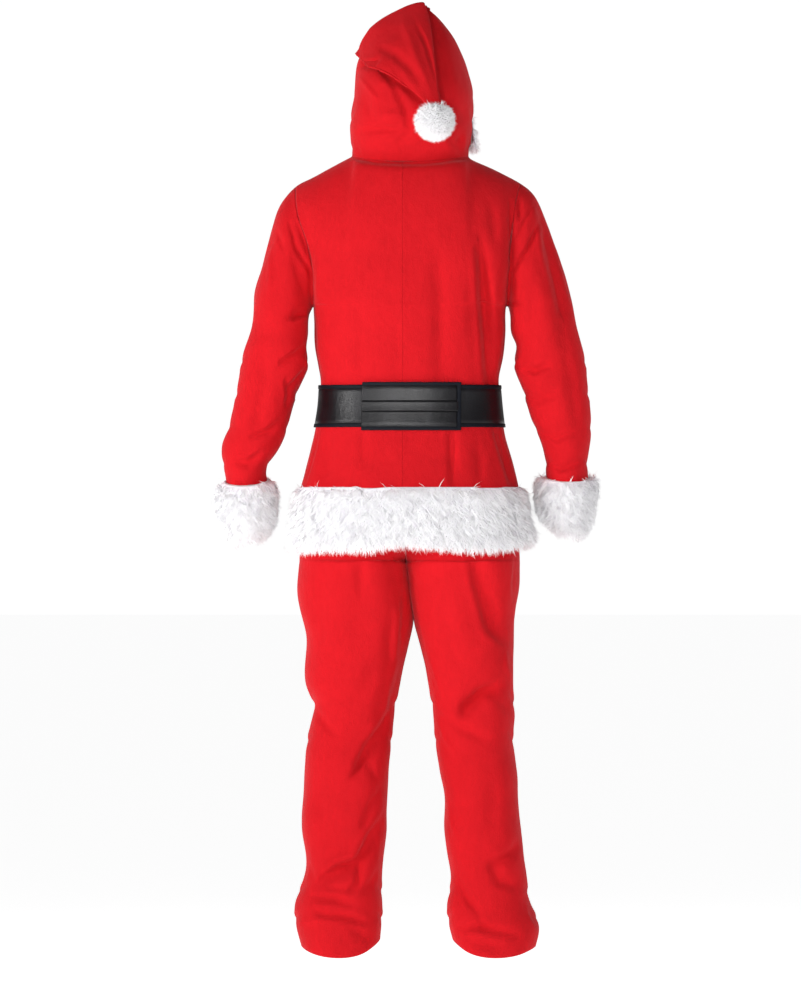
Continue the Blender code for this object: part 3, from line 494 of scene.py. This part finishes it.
# folds by the side they are seen from: route, width to its left, width to its right, depth, all in mm
jacketFolds = {
    "body": [
        ([(133, -152), (139, -228), (146, -334), (152, -407)], 16, 8, 12),
        ([(55, -156), (59, -247), (59, -407)], 14, 14, 3.5),
        ([(156, -66), (163, -142)], 10, 10, 2.5),
        ([(192, -63), (193, -148), (188, -253)], 5, 4, 6),
        ([(-209, -106), (-194, -148), (-186, -175), (-184, -270)], 4, 5, 5),
        ([(-144, -228), (-141, -407)], 15, 15, 2),
        ([(-93, -247), (-89, -407)], 12, 12, 1.5),
        ([(-49, 16), (-25, 13), (11, 13)], 5, 7, 2),
        ([(81, -494), (83, -597)], 9, 8, 4.5),
        ([(132, -522), (136, -597)], 11, 11, 3),
        ([(163, -494), (179, -547), (197, -602)], 14, 6, 8),
        ([(-87, -494), (-86, -555)], 8, 8, 2),
        ([(-150, -505), (-158, -597)], 14, 14, 3),
    ],
    "sleeves": [
        ([(239, -63), (201, -133)], 4, 4, 3),
        ([(249, -95), (224, -152), (194, -192)], 6, 4, 5),
        ([(208, -55), (210, -95)], 4, 4, 3.5),
        ([(246, -63), (256, -102), (262, -152), (277, -209), (289, -270)], 16, 7, 7),
        ([(264, -175), (283, -247), (293, -323)], 12, 12, 3),
        ([(236, -218), (232, -304)], 12, 12, 2.5),
        ([(182, -254), (215, -253)], 4, 5, 5),
        ([(-226, -102), (-215, -148), (-194, -180), (-185, -205)], 4, 4, 3.5),
        ([(-253, -112), (-238, -152)], 5, 5, 2.5),
        ([(-265, -142), (-264, -228)], 5, 5, -2.5),
        ([(-220, -283), (-207, -277), (-188, -276)], 10, 4, 8),
        ([(-192, -329), (-217, -349), (-243, -365)], 12, 4, 6),
        ([(-196, -378), (-215, -399), (-226, -412)], 10, 4, 5),
        ([(-234, -403), (-228, -424), (-232, -448)], 7, 4, 5),
        ([(-241, -475), (-268, -496), (-291, -502)], 9, 5, 5),
        ([(-279, -536), (-306, -555), (-329, -553)], 9, 5, 4),
        ([(-336, -585), (-310, -602), (-279, -595)], 7, 5, 3),
        ([(-268, -323), (-279, -428), (-298, -513)], 14, 14, 3),
        ([(209, -376), (238, -384), (266, -372)], 9, 5, 5),
        ([(215, -433), (249, -441), (279, -426)], 10, 5, 4),
        ([(245, -498), (279, -513), (310, -500)], 9, 5, 4),
        ([(260, -555), (287, -570), (325, -555)], 8, 5, 4),
        ([(298, -332), (314, -437), (321, -513)], 14, 14, 3),
    ],
    "hood": [
        ([(28, 308), (37, 296), (48, 261), (52, 232), (56, 200), (61, 163), (66, 125)], 16, 12, 11),
        ([(-93, 198), (-70, 200), (-55, 198), (-40, 182), (-17, 165), (6, 150), (27, 131)], 12, 10, 10),
        ([(-51, 186), (-27, 152), (-10, 117), (-2, 86), (1, 74), (-4, 63), (-19, 53)], 5, 4, 5),
        ([(-101, 182), (-80, 156), (-61, 131)], 4, 5, -3),
        ([(-89, 137), (-70, 99)], 10, 10, 2.5),
        ([(-97, 71), (-51, 76), (-17, 74)], 6, 9, 5),
        ([(-55, 99), (-13, 101)], 9, 9, -3),
        ([(19, 46), (36, 50), (68, 48)], 6, 6, 4),
        ([(77, 55), (97, 38), (104, 30)], 5, 5, 5),
        ([(118, 70), (104, 31)], 5, 5, -4),
        ([(89, 55), (106, 55)], 12, 9, 9),
        ([(93, 118), (112, 91)], 12, 12, 4),
        ([(82, 247), (101, 190), (108, 137)], 12, 12, 2.5),
        ([(-104, 57), (-97, 34)], 5, 5, 3),
        ([(-74, 38), (-21, 34)], 7, 7, -2),
    ],
    "point": [
        ([(13, 274), (25, 251), (35, 226), (43, 196), (48, 175)], 4, 4, 3),
        ([(-59, 228), (-27, 217), (-2, 194), (21, 167)], 9, 9, 4),
        ([(-13, 285), (0, 243), (17, 198), (34, 156)], 10, 10, -3),
        ([(-86, 196), (-68, 200), (-57, 209)], 6, 4, 5),
    ],
    "front": [
        ([(-70, -60), (-82, -200), (-80, -385)], 14, 14, 3),
        ([(-128, -170), (-134, -385)], 7, 13, 5),
        ([(64, -90), (74, -230), (70, -385)], 14, 14, 3),
        ([(121, -160), (126, -385)], 13, 7, 5),
        ([(-8, -20), (-6, -380)], 4, 4, 3),
        ([(-6, -494), (-5, -597)], 4, 4, 3),
        ([(-145, -500), (-156, -597)], 11, 7, 4),
        ([(-70, -500), (-76, -597)], 12, 12, 3),
        ([(88, -500), (97, -597)], 7, 12, 5),
        ([(150, -500), (163, -597)], 9, 9, 3),
        ([(-192, -70), (-190, -240)], 5, 5, 5),
        ([(186, -70), (184, -240)], 5, 5, 5),
    ],
    "sleeveFront": [
        ([(-205, -110), (-240, -90)], 6, 6, 3),
        ([(-200, -190), (-240, -160), (-262, -150)], 7, 5, 4),
        ([(-212, -360), (-245, -378), (-290, -366)], 10, 5, 6),
        ([(-220, -405), (-260, -420), (-298, -408)], 8, 5, 5),
        ([(-232, -470), (-270, -488), (-310, -478)], 9, 5, 4),
        ([(200, -110), (236, -92)], 6, 6, 3),
        ([(196, -185), (232, -160), (256, -148)], 5, 7, 4),
        ([(208, -362), (245, -380), (285, -370)], 10, 5, 6),
        ([(216, -410), (258, -424), (296, -412)], 8, 5, 5),
        ([(235, -480), (275, -496), (312, -484)], 9, 5, 4),
    ],
    "sides": [
        ([(-45, -120), (-20, -185), (-25, -250)], 9, 9, 4),
        ([(20, -95), (10, -180)], 8, 8, 3),
        ([(-40, -352), (-5, -372), (30, -360)], 9, 5, 5),
        ([(-44, -415), (-10, -430), (32, -412)], 9, 5, 5),
        ([(-38, -478), (0, -492), (34, -480)], 9, 6, 4),
        ([(-30, -545), (10, -560), (40, -548)], 8, 6, 4),
        ([(-10, -250), (-14, -350)], 12, 12, 3),
    ],
    "bodySides": [
        ([(-30, -290), (-20, -385)], 10, 10, 3),
        ([(30, -300), (24, -385)], 10, 10, 3),
        ([(-45, -500), (-52, -597)], 10, 6, 4),
        ([(35, -500), (42, -597)], 10, 10, 3),
    ],
    "pointSide": [
        ([(-30, 268), (-30, 212)], 70, 70, 9),
    ],
    "hoodSides": [
        ([(-40, 190), (-5, 150), (30, 120)], 8, 12, 4),
        ([(-50, 110), (-10, 95), (40, 88)], 9, 6, 4),
        ([(-30, 45), (20, 40), (60, 42)], 6, 6, 3),
        ([(20, 240), (45, 180)], 10, 10, 3),
    ],
}
trouserFolds = {
    "back": [
        ([(-9, -798), (-12, -851), (-15, -899), (-18, -942), (-25, -975), (-34, -1028), (-47, -1050),
          (-78, -1091), (-99, -1125)], 24, 7, 14),
        ([(-82, -1102), (-97, -1129), (-110, -1148)], 8, 5, 5),
        ([(-32, -851), (-38, -902), (-36, -946)], 10, 12, 5),
        ([(-91, -737), (-93, -808)], 12, 12, 3.5),
        ([(-59, -935), (-82, -980), (-108, -1015)], 14, 14, 3),
        ([(-188, -1015), (-169, -1037), (-142, -1070)], 6, 8, 4),
        ([(-201, -954), (-196, -988)], 6, 6, 3),
        ([(-160, -752), (-169, -836), (-165, -912)], 16, 16, 2.5),
        ([(-44, -1222), (-72, -1260), (-84, -1284), (-100, -1310), (-132, -1320), (-160, -1340)], 17, 7, 11),
        ([(-44, -1165), (-74, -1203), (-89, -1244)], 9, 6, 5),
        ([(-95, -1322), (-100, -1353), (-112, -1364)], 9, 5, 5),
        ([(-55, -1322), (-70, -1349), (-86, -1368)], 8, 6, 4),
        ([(-80, -1117), (-65, -1150), (-48, -1167)], 9, 9, 3),
        ([(-43, -1155), (-46, -1227), (-51, -1298), (-53, -1345)], 4, 4, 4),
        ([(-182, -1379), (-141, -1382), (-108, -1393)], 7, 7, 4),
        ([(-175, -1408), (-154, -1414), (-119, -1417), (-82, -1428)], 6, 4, 6),
        ([(-152, -1363), (-108, -1364)], 6, 6, 2.5),
        ([(-218, -1444), (-201, -1427), (-169, -1419)], 5, 5, -3),
        ([(-108, -1440), (-70, -1459)], 8, 8, 3),
        ([(-173, -1159), (-165, -1235), (-173, -1292)], 16, 16, 3),
        ([(-196, -1307), (-182, -1341)], 5, 6, 4),
        ([(120, -737), (127, -779), (142, -832), (152, -870), (177, -893)], 24, 8, 7),
        ([(202, -737), (198, -785), (201, -821)], 7, 4, 6),
        ([(184, -916), (184, -942), (197, -973)], 5, 4, -4),
        ([(101, -1034), (108, -1015), (136, -990), (169, -978)], 9, 13, 11),
        ([(53, -1036), (98, -1059), (146, -1079)], 9, 9, 4),
        ([(169, -1007), (196, -1030)], 9, 9, 3),
        ([(23, -904), (42, -937), (63, -998)], 5, 4, -3),
        ([(48, -1039), (66, -1077), (89, -1112)], 5, 4, -3),
        ([(59, -760), (70, -855), (89, -931)], 16, 16, 2.5),
        ([(66, -1174), (79, -1235), (93, -1273)], 5, 4, -3),
        ([(213, -1271), (196, -1292), (158, -1317)], 13, 8, 8),
        ([(158, -1317), (171, -1348), (207, -1360)], 12, 10, 5),
        ([(154, -1140), (162, -1197), (154, -1254)], 16, 16, 2.5),
        ([(98, -1357), (111, -1385), (135, -1410)], 8, 7, 5),
        ([(93, -1439), (136, -1436), (155, -1442), (207, -1452)], 7, 5, 5),
        ([(131, -1414), (146, -1444)], 6, 6, 2.5),
        ([(231, -1391), (237, -1417), (247, -1438)], 9, 4, 7),
        ([(116, -1463), (173, -1474)], 8, 8, 3),
        ([(-40, -737), (-21, -788), (-15, -836)], 9, 9, 3),
    ],
    "front": [
        ([(-30, -760), (-75, -800), (-130, -820)], 8, 12, 5),
        ([(28, -760), (75, -800), (135, -825)], 12, 8, 5),
        ([(-20, -790), (-48, -850)], 6, 6, 4),
        ([(18, -790), (50, -850)], 6, 6, 4),
        ([(-188, -985), (-140, -1015), (-90, -1005)], 6, 12, 7),
        ([(-180, -1060), (-130, -1075), (-80, -1058)], 6, 12, 6),
        ([(-70, -1120), (-120, -1140)], 9, 9, 4),
        ([(70, -995), (120, -1020), (175, -1000)], 6, 12, 7),
        ([(80, -1065), (130, -1080), (180, -1066)], 6, 12, 6),
        ([(90, -1120), (150, -1142)], 9, 9, 4),
        ([(-140, -830), (-135, -960)], 15, 15, 3),
        ([(120, -850), (126, -960)], 15, 15, 3),
        ([(-120, -1170), (-125, -1300)], 15, 15, 3),
        ([(140, -1170), (150, -1300)], 15, 15, 3),
        ([(-195, -1345), (-140, -1365), (-80, -1350)], 6, 12, 6),
        ([(-200, -1400), (-140, -1418), (-75, -1402)], 5, 10, 6),
        ([(-190, -1450), (-120, -1462)], 6, 8, 4),
        ([(105, -1345), (160, -1368), (215, -1352)], 6, 12, 6),
        ([(108, -1402), (170, -1420), (228, -1405)], 5, 10, 6),
        ([(120, -1455), (190, -1465)], 6, 8, 4),
    ],
    "sides": [
        ([(-50, -990), (0, -1015), (45, -1000)], 6, 12, 6),
        ([(-55, -1065), (-5, -1085), (40, -1068)], 6, 11, 5),
        ([(-10, -780), (-5, -940)], 15, 15, 3),
        ([(-20, -1130), (-10, -1290)], 14, 14, 3),
        ([(-60, -1350), (0, -1372), (50, -1355)], 6, 11, 5),
        ([(-60, -1405), (-5, -1422), (55, -1408)], 5, 10, 6),
    ],
    "leftInner": [
        ([(-10, -690), (-10, -780), (-10, -900), (-10, -1000)], 60, 60, -8),
    ],
    "rightInner": [
        ([(-10, -690), (-10, -770), (-10, -850)], 60, 60, -5),
    ],
}

print("sewing the jacket")
jacketWhole = refined(sewn(jacketPanels), "jacketWhole", clothCut["levels"], redFleece)
markSeams(jacketWhole, hiddenSeams)
pressFolds(jacketWhole, jacketFolds["body"], 1, -1, bodyNumbers | sleeveNumbers)
pressFolds(jacketWhole, jacketFolds["sleeves"], 1, -1, sleeveNumbers)
pressFolds(jacketWhole, jacketFolds["hood"], 1, -1, hoodNumbers)
pressFolds(jacketWhole, jacketFolds["point"], 1, -1, pointNumbers)
pressFolds(jacketWhole, jacketFolds["front"], 1, 1, bodyNumbers | sleeveNumbers)
pressFolds(jacketWhole, jacketFolds["sleeveFront"], 1, 1, sleeveNumbers)
for facing in (-1, 1):
    pressFolds(jacketWhole, jacketFolds["sides"], 0, facing, sleeveNumbers, sideDeepen["sleeve"])
    pressFolds(jacketWhole, jacketFolds["bodySides"], 0, facing, bodyNumbers, sideDeepen["body"])
    pressFolds(jacketWhole, jacketFolds["hoodSides"], 0, facing, hoodNumbers, sideDeepen["hood"])
pressFolds(jacketWhole, jacketFolds["pointSide"], 0, -1, pointNumbers, 1)
easeAt(jacketWhole, underarmKinks)
unevenCloth(jacketWhole)
jacketBody = cutPiece(jacketWhole, "jacketBody", bodyNumbers, redFleece)
sleeveLeft = cutPiece(jacketWhole, "sleeveLeft", {4}, redFleece)
sleeveRight = cutPiece(jacketWhole, "sleeveRight", {5}, redFleece)
hoodCloth = cutPiece(jacketWhole, "hoodCloth", hoodNumbers | pointNumbers, redFleece)
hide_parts(*bodyPanels)
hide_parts("sleeve_left")
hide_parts("sleeve_right")
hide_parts("hood_left", "hood_right", "hood_point")
bpy.data.objects.remove(jacketWhole)

print("sewing the trousers")
trouserWhole = refined(sewn(legPanels), "trouserWhole", clothCut["levels"], redFleece)
markSeams(trouserWhole)
pressFolds(trouserWhole, trouserFolds["back"], 1, -1, legNumbers)
pressFolds(trouserWhole, trouserFolds["front"], 1, 1, legNumbers)
for facing in (-1, 1):
    pressFolds(trouserWhole, trouserFolds["sides"], 0, facing, legNumbers, sideDeepen["leg"])
pressFolds(trouserWhole, trouserFolds["leftInner"], 0, 1, leftLegNumbers, 1)
pressFolds(trouserWhole, trouserFolds["rightInner"], 0, -1, rightLegNumbers, 1)
unevenCloth(trouserWhole)
trouserLeft = cutPiece(trouserWhole, "trouserLeft", leftLegNumbers, redFleece)
trouserRight = cutPiece(trouserWhole, "trouserRight", rightLegNumbers, redFleece)
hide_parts("leg_back_left", "leg_front_left")
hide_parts("leg_back_right", "leg_front_right")
bpy.data.objects.remove(trouserWhole)


beltForm = {"edge": math.radians(55), "crease": 0.75, "levels": 2}


# a CAD band's finer copy: edges a little rounded, facets smoothed along its length
def smoothBand(node, name, look):
    form = mergedNode(node)
    joinQuads(form)
    crease = form.edges.layers.float.new("crease_edge")
    for edge in form.edges:
        if edge.calc_face_angle(0) > beltForm["edge"]:
            edge[crease] = beltForm["crease"]
    piece = refined(form, name, beltForm["levels"], look)
    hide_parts(node)
    return piece


beltPieces = [
    smoothBand("belt_strap", "beltStrap", blackVinyl),
    smoothBand("belt_end", "beltEnd", slottedVinyl),
    smoothBand("belt_channel", "beltChannel", blackVinyl),
    smoothBand("belt_binding_top", "beltBindingTop", blackBinding),
    smoothBand("belt_binding_bottom", "beltBindingBottom", blackBinding),
    smoothBand("belt_end_binding", "beltEndBinding", blackBinding),
]
waistband = smoothBand("waistband", "waistbandCloth", redFleece)
print("belt made")


# one lock of pile: a narrow blade, bent and drawn to a point
def lockShape(lock):
    form = bmesh.new()
    bmesh.ops.create_grid(form, x_segments=1, y_segments=lock["rows"], size=0.5)
    tip = form.verts.layers.float.new("tip")
    for vert in form.verts:
        t = vert.co.y + 0.5
        vert[tip] = t
        width = lock["width"] * (1 - t ** lock["taper"])
        vert.co = (lock["length"] * lock["bend"] * t * t, vert.co.x * width, lock["length"] * t)
    bmesh.ops.remove_doubles(form, verts=form.verts, dist=0.00001)
    return newObject("lock", toMesh(form, "lock"), whitePile)


# grows locks over a backing whose points say how thick they stand and how they lie
def growPile(backing, pile):
    lock = lockShape(pile["lock"])
    tree = bpy.data.node_groups.new("pile", "GeometryNodeTree")
    tree.interface.new_socket("Geometry", in_out="INPUT", socket_type="NodeSocketGeometry")
    tree.interface.new_socket("Geometry", in_out="OUTPUT", socket_type="NodeSocketGeometry")
    start = Wire(tree)
    skin = start.node("NodeGroupInput")
    grow = start.node("GeometryNodeInputNamedAttribute", {"data_type": "FLOAT"}, {"Name": "grow"})
    lie = start.node("GeometryNodeInputNamedAttribute", {"data_type": "FLOAT_VECTOR"}, {"Name": "lie"})
    points = start.node("GeometryNodeDistributePointsOnFaces", None,
                        {"Mesh": skin, "Density": grow * pile["perSquareMetre"], "Seed": pile["seed"]})
    place = start.node("GeometryNodeInputPosition")
    jitter = start.node("FunctionNodeRandomValue", {"data_type": "FLOAT_VECTOR"},
                        {0: (-pile["stray"],) * 3, 1: (pile["stray"],) * 3})
    swirl = start.node("ShaderNodeTexNoise", None,
                       {"Vector": place, "Scale": pile["clumpScale"], "Detail": 1.0}, "Color")
    swirl = start.vector("SCALE", start.vector("SUBTRACT", swirl, (0.5, 0.5, 0.5)))
    swirl.socket.node.inputs["Scale"].default_value = pile["clump"]
    lean = start.vector("ADD", start.vector("ADD", lie, jitter), swirl)
    turned = start.node("FunctionNodeAlignRotationToVector", {"axis": "Z"}, {"Vector": lean})
    fall = start.vector("ADD", (0, 0, -1), start.vector("MULTIPLY", jitter, (3, 3, 3)))
    turned = start.node("FunctionNodeAlignRotationToVector", {"axis": "X", "pivot_axis": "Z"},
                        {"Rotation": turned, "Vector": fall})
    size = start.node("FunctionNodeRandomValue", {"data_type": "FLOAT"},
                      {2: pile["shortest"], 3: pile["longest"], "Seed": pile["seed"] + 1}, 1)
    shape = start.node("GeometryNodeObjectInfo", None, {"Object": lock}, "Geometry")
    locks = start.node("GeometryNodeInstanceOnPoints", None,
                       {"Points": points, "Instance": shape, "Rotation": turned, "Scale": size})
    # each lock's random share of painted shade
    tone = start.node("FunctionNodeRandomValue", {"data_type": "FLOAT"}, {"Seed": pile["seed"] + 2}, 1)
    locks = start.node("GeometryNodeStoreNamedAttribute", {"data_type": "FLOAT", "domain": "INSTANCE"},
                       {"Geometry": locks, "Name": "tone", "Value": tone})
    real = start.node("GeometryNodeRealizeInstances", None, {"Geometry": locks})
    both = start.node("GeometryNodeJoinGeometry", None, {"Geometry": [skin, real]})
    start.node("NodeGroupOutput", None, {"Geometry": both})
    backing.modifiers.new("pile", "NODES").node_group = tree
    settled(backing)
    bpy.data.objects.remove(lock)
    bpy.data.node_groups.remove(tree)
    print("  ", backing.name, len(backing.data.polygons), "faces")
    return backing


crest = {"damp": 0.2, "rise": 0.6, "from": 0.85}


# draws a backing in to make room for its pile, and writes on each point whether pile grows and how it lies
def combPile(backing, bare, comb):
    points, normals = pointsOf(backing.data), pointsOf(backing.data, "normal")
    grow = np.array([0.0 if bare(p, n) else 1.0 for p, n in zip(points, normals)], np.float32)
    points = points - normals * (comb["sink"] * grow)[:, None]
    bottom, top = points[:, 2].min(), points[:, 2].max()
    share = (points[:, 2] - bottom) / (top - bottom)
    points[:, 2] += comb["below"] * (1 - share) - comb["above"] * share
    movePoints(backing.data, points)
    lie = normals * np.where(points[:, 2] > comb["flatFrom"], comb["flat"], comb["stand"])[:, None]
    lie[:, 2] *= np.where(lie[:, 2] > 0, crest["damp"], 1.0)
    lie += np.array(comb["lay"])
    if comb["above"]:
        topMost = np.clip((share - crest["from"]) / (1 - crest["from"]), 0, 1)
        lie[:, 2] += crest["rise"] * topMost  # the top row stands off the cloth
    backing.data.attributes.new("grow", "FLOAT", "POINT").data.foreach_set("value", grow)
    mark = backing.data.attributes.new("lie", "FLOAT_VECTOR", "POINT")
    mark.data.foreach_set("vector", lie.astype(np.float32).ravel())


# true on a ring's inner wall, where no pile grows
def innerWall(middle, slack):
    return lambda p, n: n[0] * (p[0] - middle[0]) + n[1] * (p[1] - middle[1]) < -slack


def backingOf(node, name, levels):
    form = mergedNode(node)
    joinQuads(form)
    piece = refined(form, name, levels, whitePile)
    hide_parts(node)
    return piece


hemPile = {
    "perSquareMetre": 330000, "seed": 3, "stray": 0.26, "clump": 1.9, "clumpScale": 75,
    "shortest": 0.7, "longest": 1.2,
    "lock": {"rows": 2, "width": 0.0017, "length": 0.017, "bend": 0.5, "taper": 1.6},
}
# below and above squeeze the backing's ends in; above flatFrom the pile stands by the share flat
hemComb = {
    "stand": 0.62, "flat": 0.1, "flatFrom": math.inf, "lay": (0, 0, -0.85),
    "sink": 0.004, "below": 0.019, "above": 0.011,
}
print("growing the pile")
hemBand = backingOf("hem_fur", "hemBand", 1)
combPile(hemBand, innerWall((0.006, 0.0), 0.01), hemComb)
growPile(hemBand, hemPile)

cuffPile = dict(hemPile, lock=dict(hemPile["lock"], length=0.013))
cuffs = []
for side, sign in (("left", -1), ("right", 1)):
    cuff = backingOf(f"cuff_{side}", f"cuffBand{side.title()}", 1)
    low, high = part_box(f"cuff_{side}")
    cuffPile["seed"] += 7
    cuffComb = dict(hemComb, stand=0.6, lay=(sign * 0.1, 0, -0.6), sink=0.005, below=0.008, above=0.002)
    combPile(cuff, innerWall((low + high) / 2, 0.008), cuffComb)
    cuffs.append(growPile(cuff, cuffPile))

trimPile = dict(hemPile, seed=40, lock=dict(hemPile["lock"], length=0.012))
hoodTrim = backingOf("hood_fur", "hoodTrim", 1)
trimComb = dict(hemComb, stand=0.6, flatFrom=0.06, lay=(0, 0.6, -0.2), sink=0.004, below=0, above=0)
combPile(hoodTrim, lambda p, n: False, trimComb)
growPile(hoodTrim, trimPile)

pomPile = dict(hemPile, perSquareMetre=800000, seed=60, stray=0.5, clump=1.1, clumpScale=110,
               lock=dict(hemPile["lock"], length=0.012, width=0.0019, bend=0.6))
pomCore = {"radius": 0.0295, "centre": (0.0486, -0.1515, 0.089), "bareFrom": 0.75}
pomComb = dict(hemComb, stand=1.0, lay=(0, 0, -0.25), sink=0, below=0, above=0)
form = bmesh.new()
bmesh.ops.create_icosphere(form, subdivisions=4, radius=pomCore["radius"])
bmesh.ops.translate(form, verts=form.verts, vec=pomCore["centre"])
pompom = newObject("pompomBall", toMesh(form, "pompomBall"), whitePile)
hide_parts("pompom")
combPile(pompom, lambda p, n: n[1] > pomCore["bareFrom"], pomComb)  # bare towards the hood
growPile(pompom, pomPile)


pieces = [jacketBody, sleeveLeft, sleeveRight, hoodCloth, trouserLeft, trouserRight, waistband,
          hemBand, *cuffs, hoodTrim, pompom, *beltPieces]
for piece in pieces:
    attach(piece, "root")


studio = {
    "floor": -1.567, "half": 80.0, "shine": 0.85, "aim": (0, 0, -0.45), "spread": math.radians(58),
    "backdrop": 0.88, "daylight": 0.13,
}
form = bmesh.new()
bmesh.ops.create_grid(form, x_segments=1, y_segments=1, size=studio["half"])
bmesh.ops.translate(form, verts=form.verts, vec=(0, 0, studio["floor"]))
paleFloor = newLook("paleFloor", {"Base Color": (0.9, 0.9, 0.905, 1), "Roughness": 0.95,
                                  "Emission Color": (1, 1, 1, 1), "Emission Strength": studio["shine"]})[0]
floor = newObject("floor", toMesh(form, "floor"), paleFloor)

# name, place, size, power, tint
lamps = [
    ("key", (-3.8, -2.9, -0.1), 1.3, 14, (1, 1, 1)),
    ("front", (-0.9, -5.5, -0.3), 2.0, 14.5, (1, 1, 1)),
    ("glint", (0.35, -6.0, -0.3), 0.6, 110, (1, 1, 1)),
    ("fill", (3.4, -3.6, 0.2), 2.6, 10, (0.95, 0.93, 1)),
    ("top", (0.0, -0.6, 3.2), 2.0, 9, (1, 1, 1)),
    ("rimLeft", (-2.6, 1.6, 0.4), 1.4, 20, (1, 1, 1)),
    ("rimRight", (2.8, 1.6, 0.2), 1.4, 20, (1, 1, 1)),
]
for name, place, size, power, tint in lamps:
    lamp = bpy.data.lights.new(name, "AREA")
    lamp.shape, lamp.size, lamp.energy, lamp.color = "SQUARE", size, power, tint
    obj = bpy.data.objects.new(name, lamp)
    if name in ("key", "front"):
        lamp.spread = studio["spread"]  # weaker towards the hood and the hems
    obj.visible_diffuse = name != "glint"  # only its reflection on the belt is wanted
    obj.location = place
    obj.rotation_euler = (Vector(studio["aim"]) - Vector(place)).to_track_quat("-Z", "Y").to_euler()
    bpy.context.scene.collection.objects.link(obj)

world = bpy.data.worlds.new("studio")
world.use_nodes = True
sky = Wire(world.node_tree)
seen = sky.node("ShaderNodeLightPath", out="Is Camera Ray")
strength = seen * studio["backdrop"] + studio["daylight"]  # the backdrop is bright, its light is low
background = world.node_tree.nodes["Background"]
world.node_tree.links.new(strength.socket, background.inputs["Strength"])
background.inputs["Color"].default_value = (1, 1, 1, 1)
bpy.context.scene.world = world
bpy.context.scene.view_settings.view_transform = "Standard"

photoView = {"distance": 24.0, "x": -0.0162, "z": -0.628, "height": 1.902, "sensor": 36}
lens = bpy.data.cameras.new("camera")
lens.sensor_width = photoView["sensor"]
lens.lens = photoView["sensor"] * photoView["distance"] / photoView["height"]
camera = bpy.data.objects.new("camera", lens)
camera.location = (photoView["x"], -photoView["distance"], photoView["z"])
camera.rotation_euler = (math.pi / 2, 0, 0)
bpy.context.scene.collection.objects.link(camera)
bpy.context.scene.camera = camera
print("stage set")
depsgraph = bpy.context.evaluated_depsgraph_get()
triangles = {p.name: len(p.evaluated_get(depsgraph).data.loop_triangles) for p in pieces}
print("triangles:", sum(triangles.values()), "in all,", max(triangles.values()), "in the largest piece")
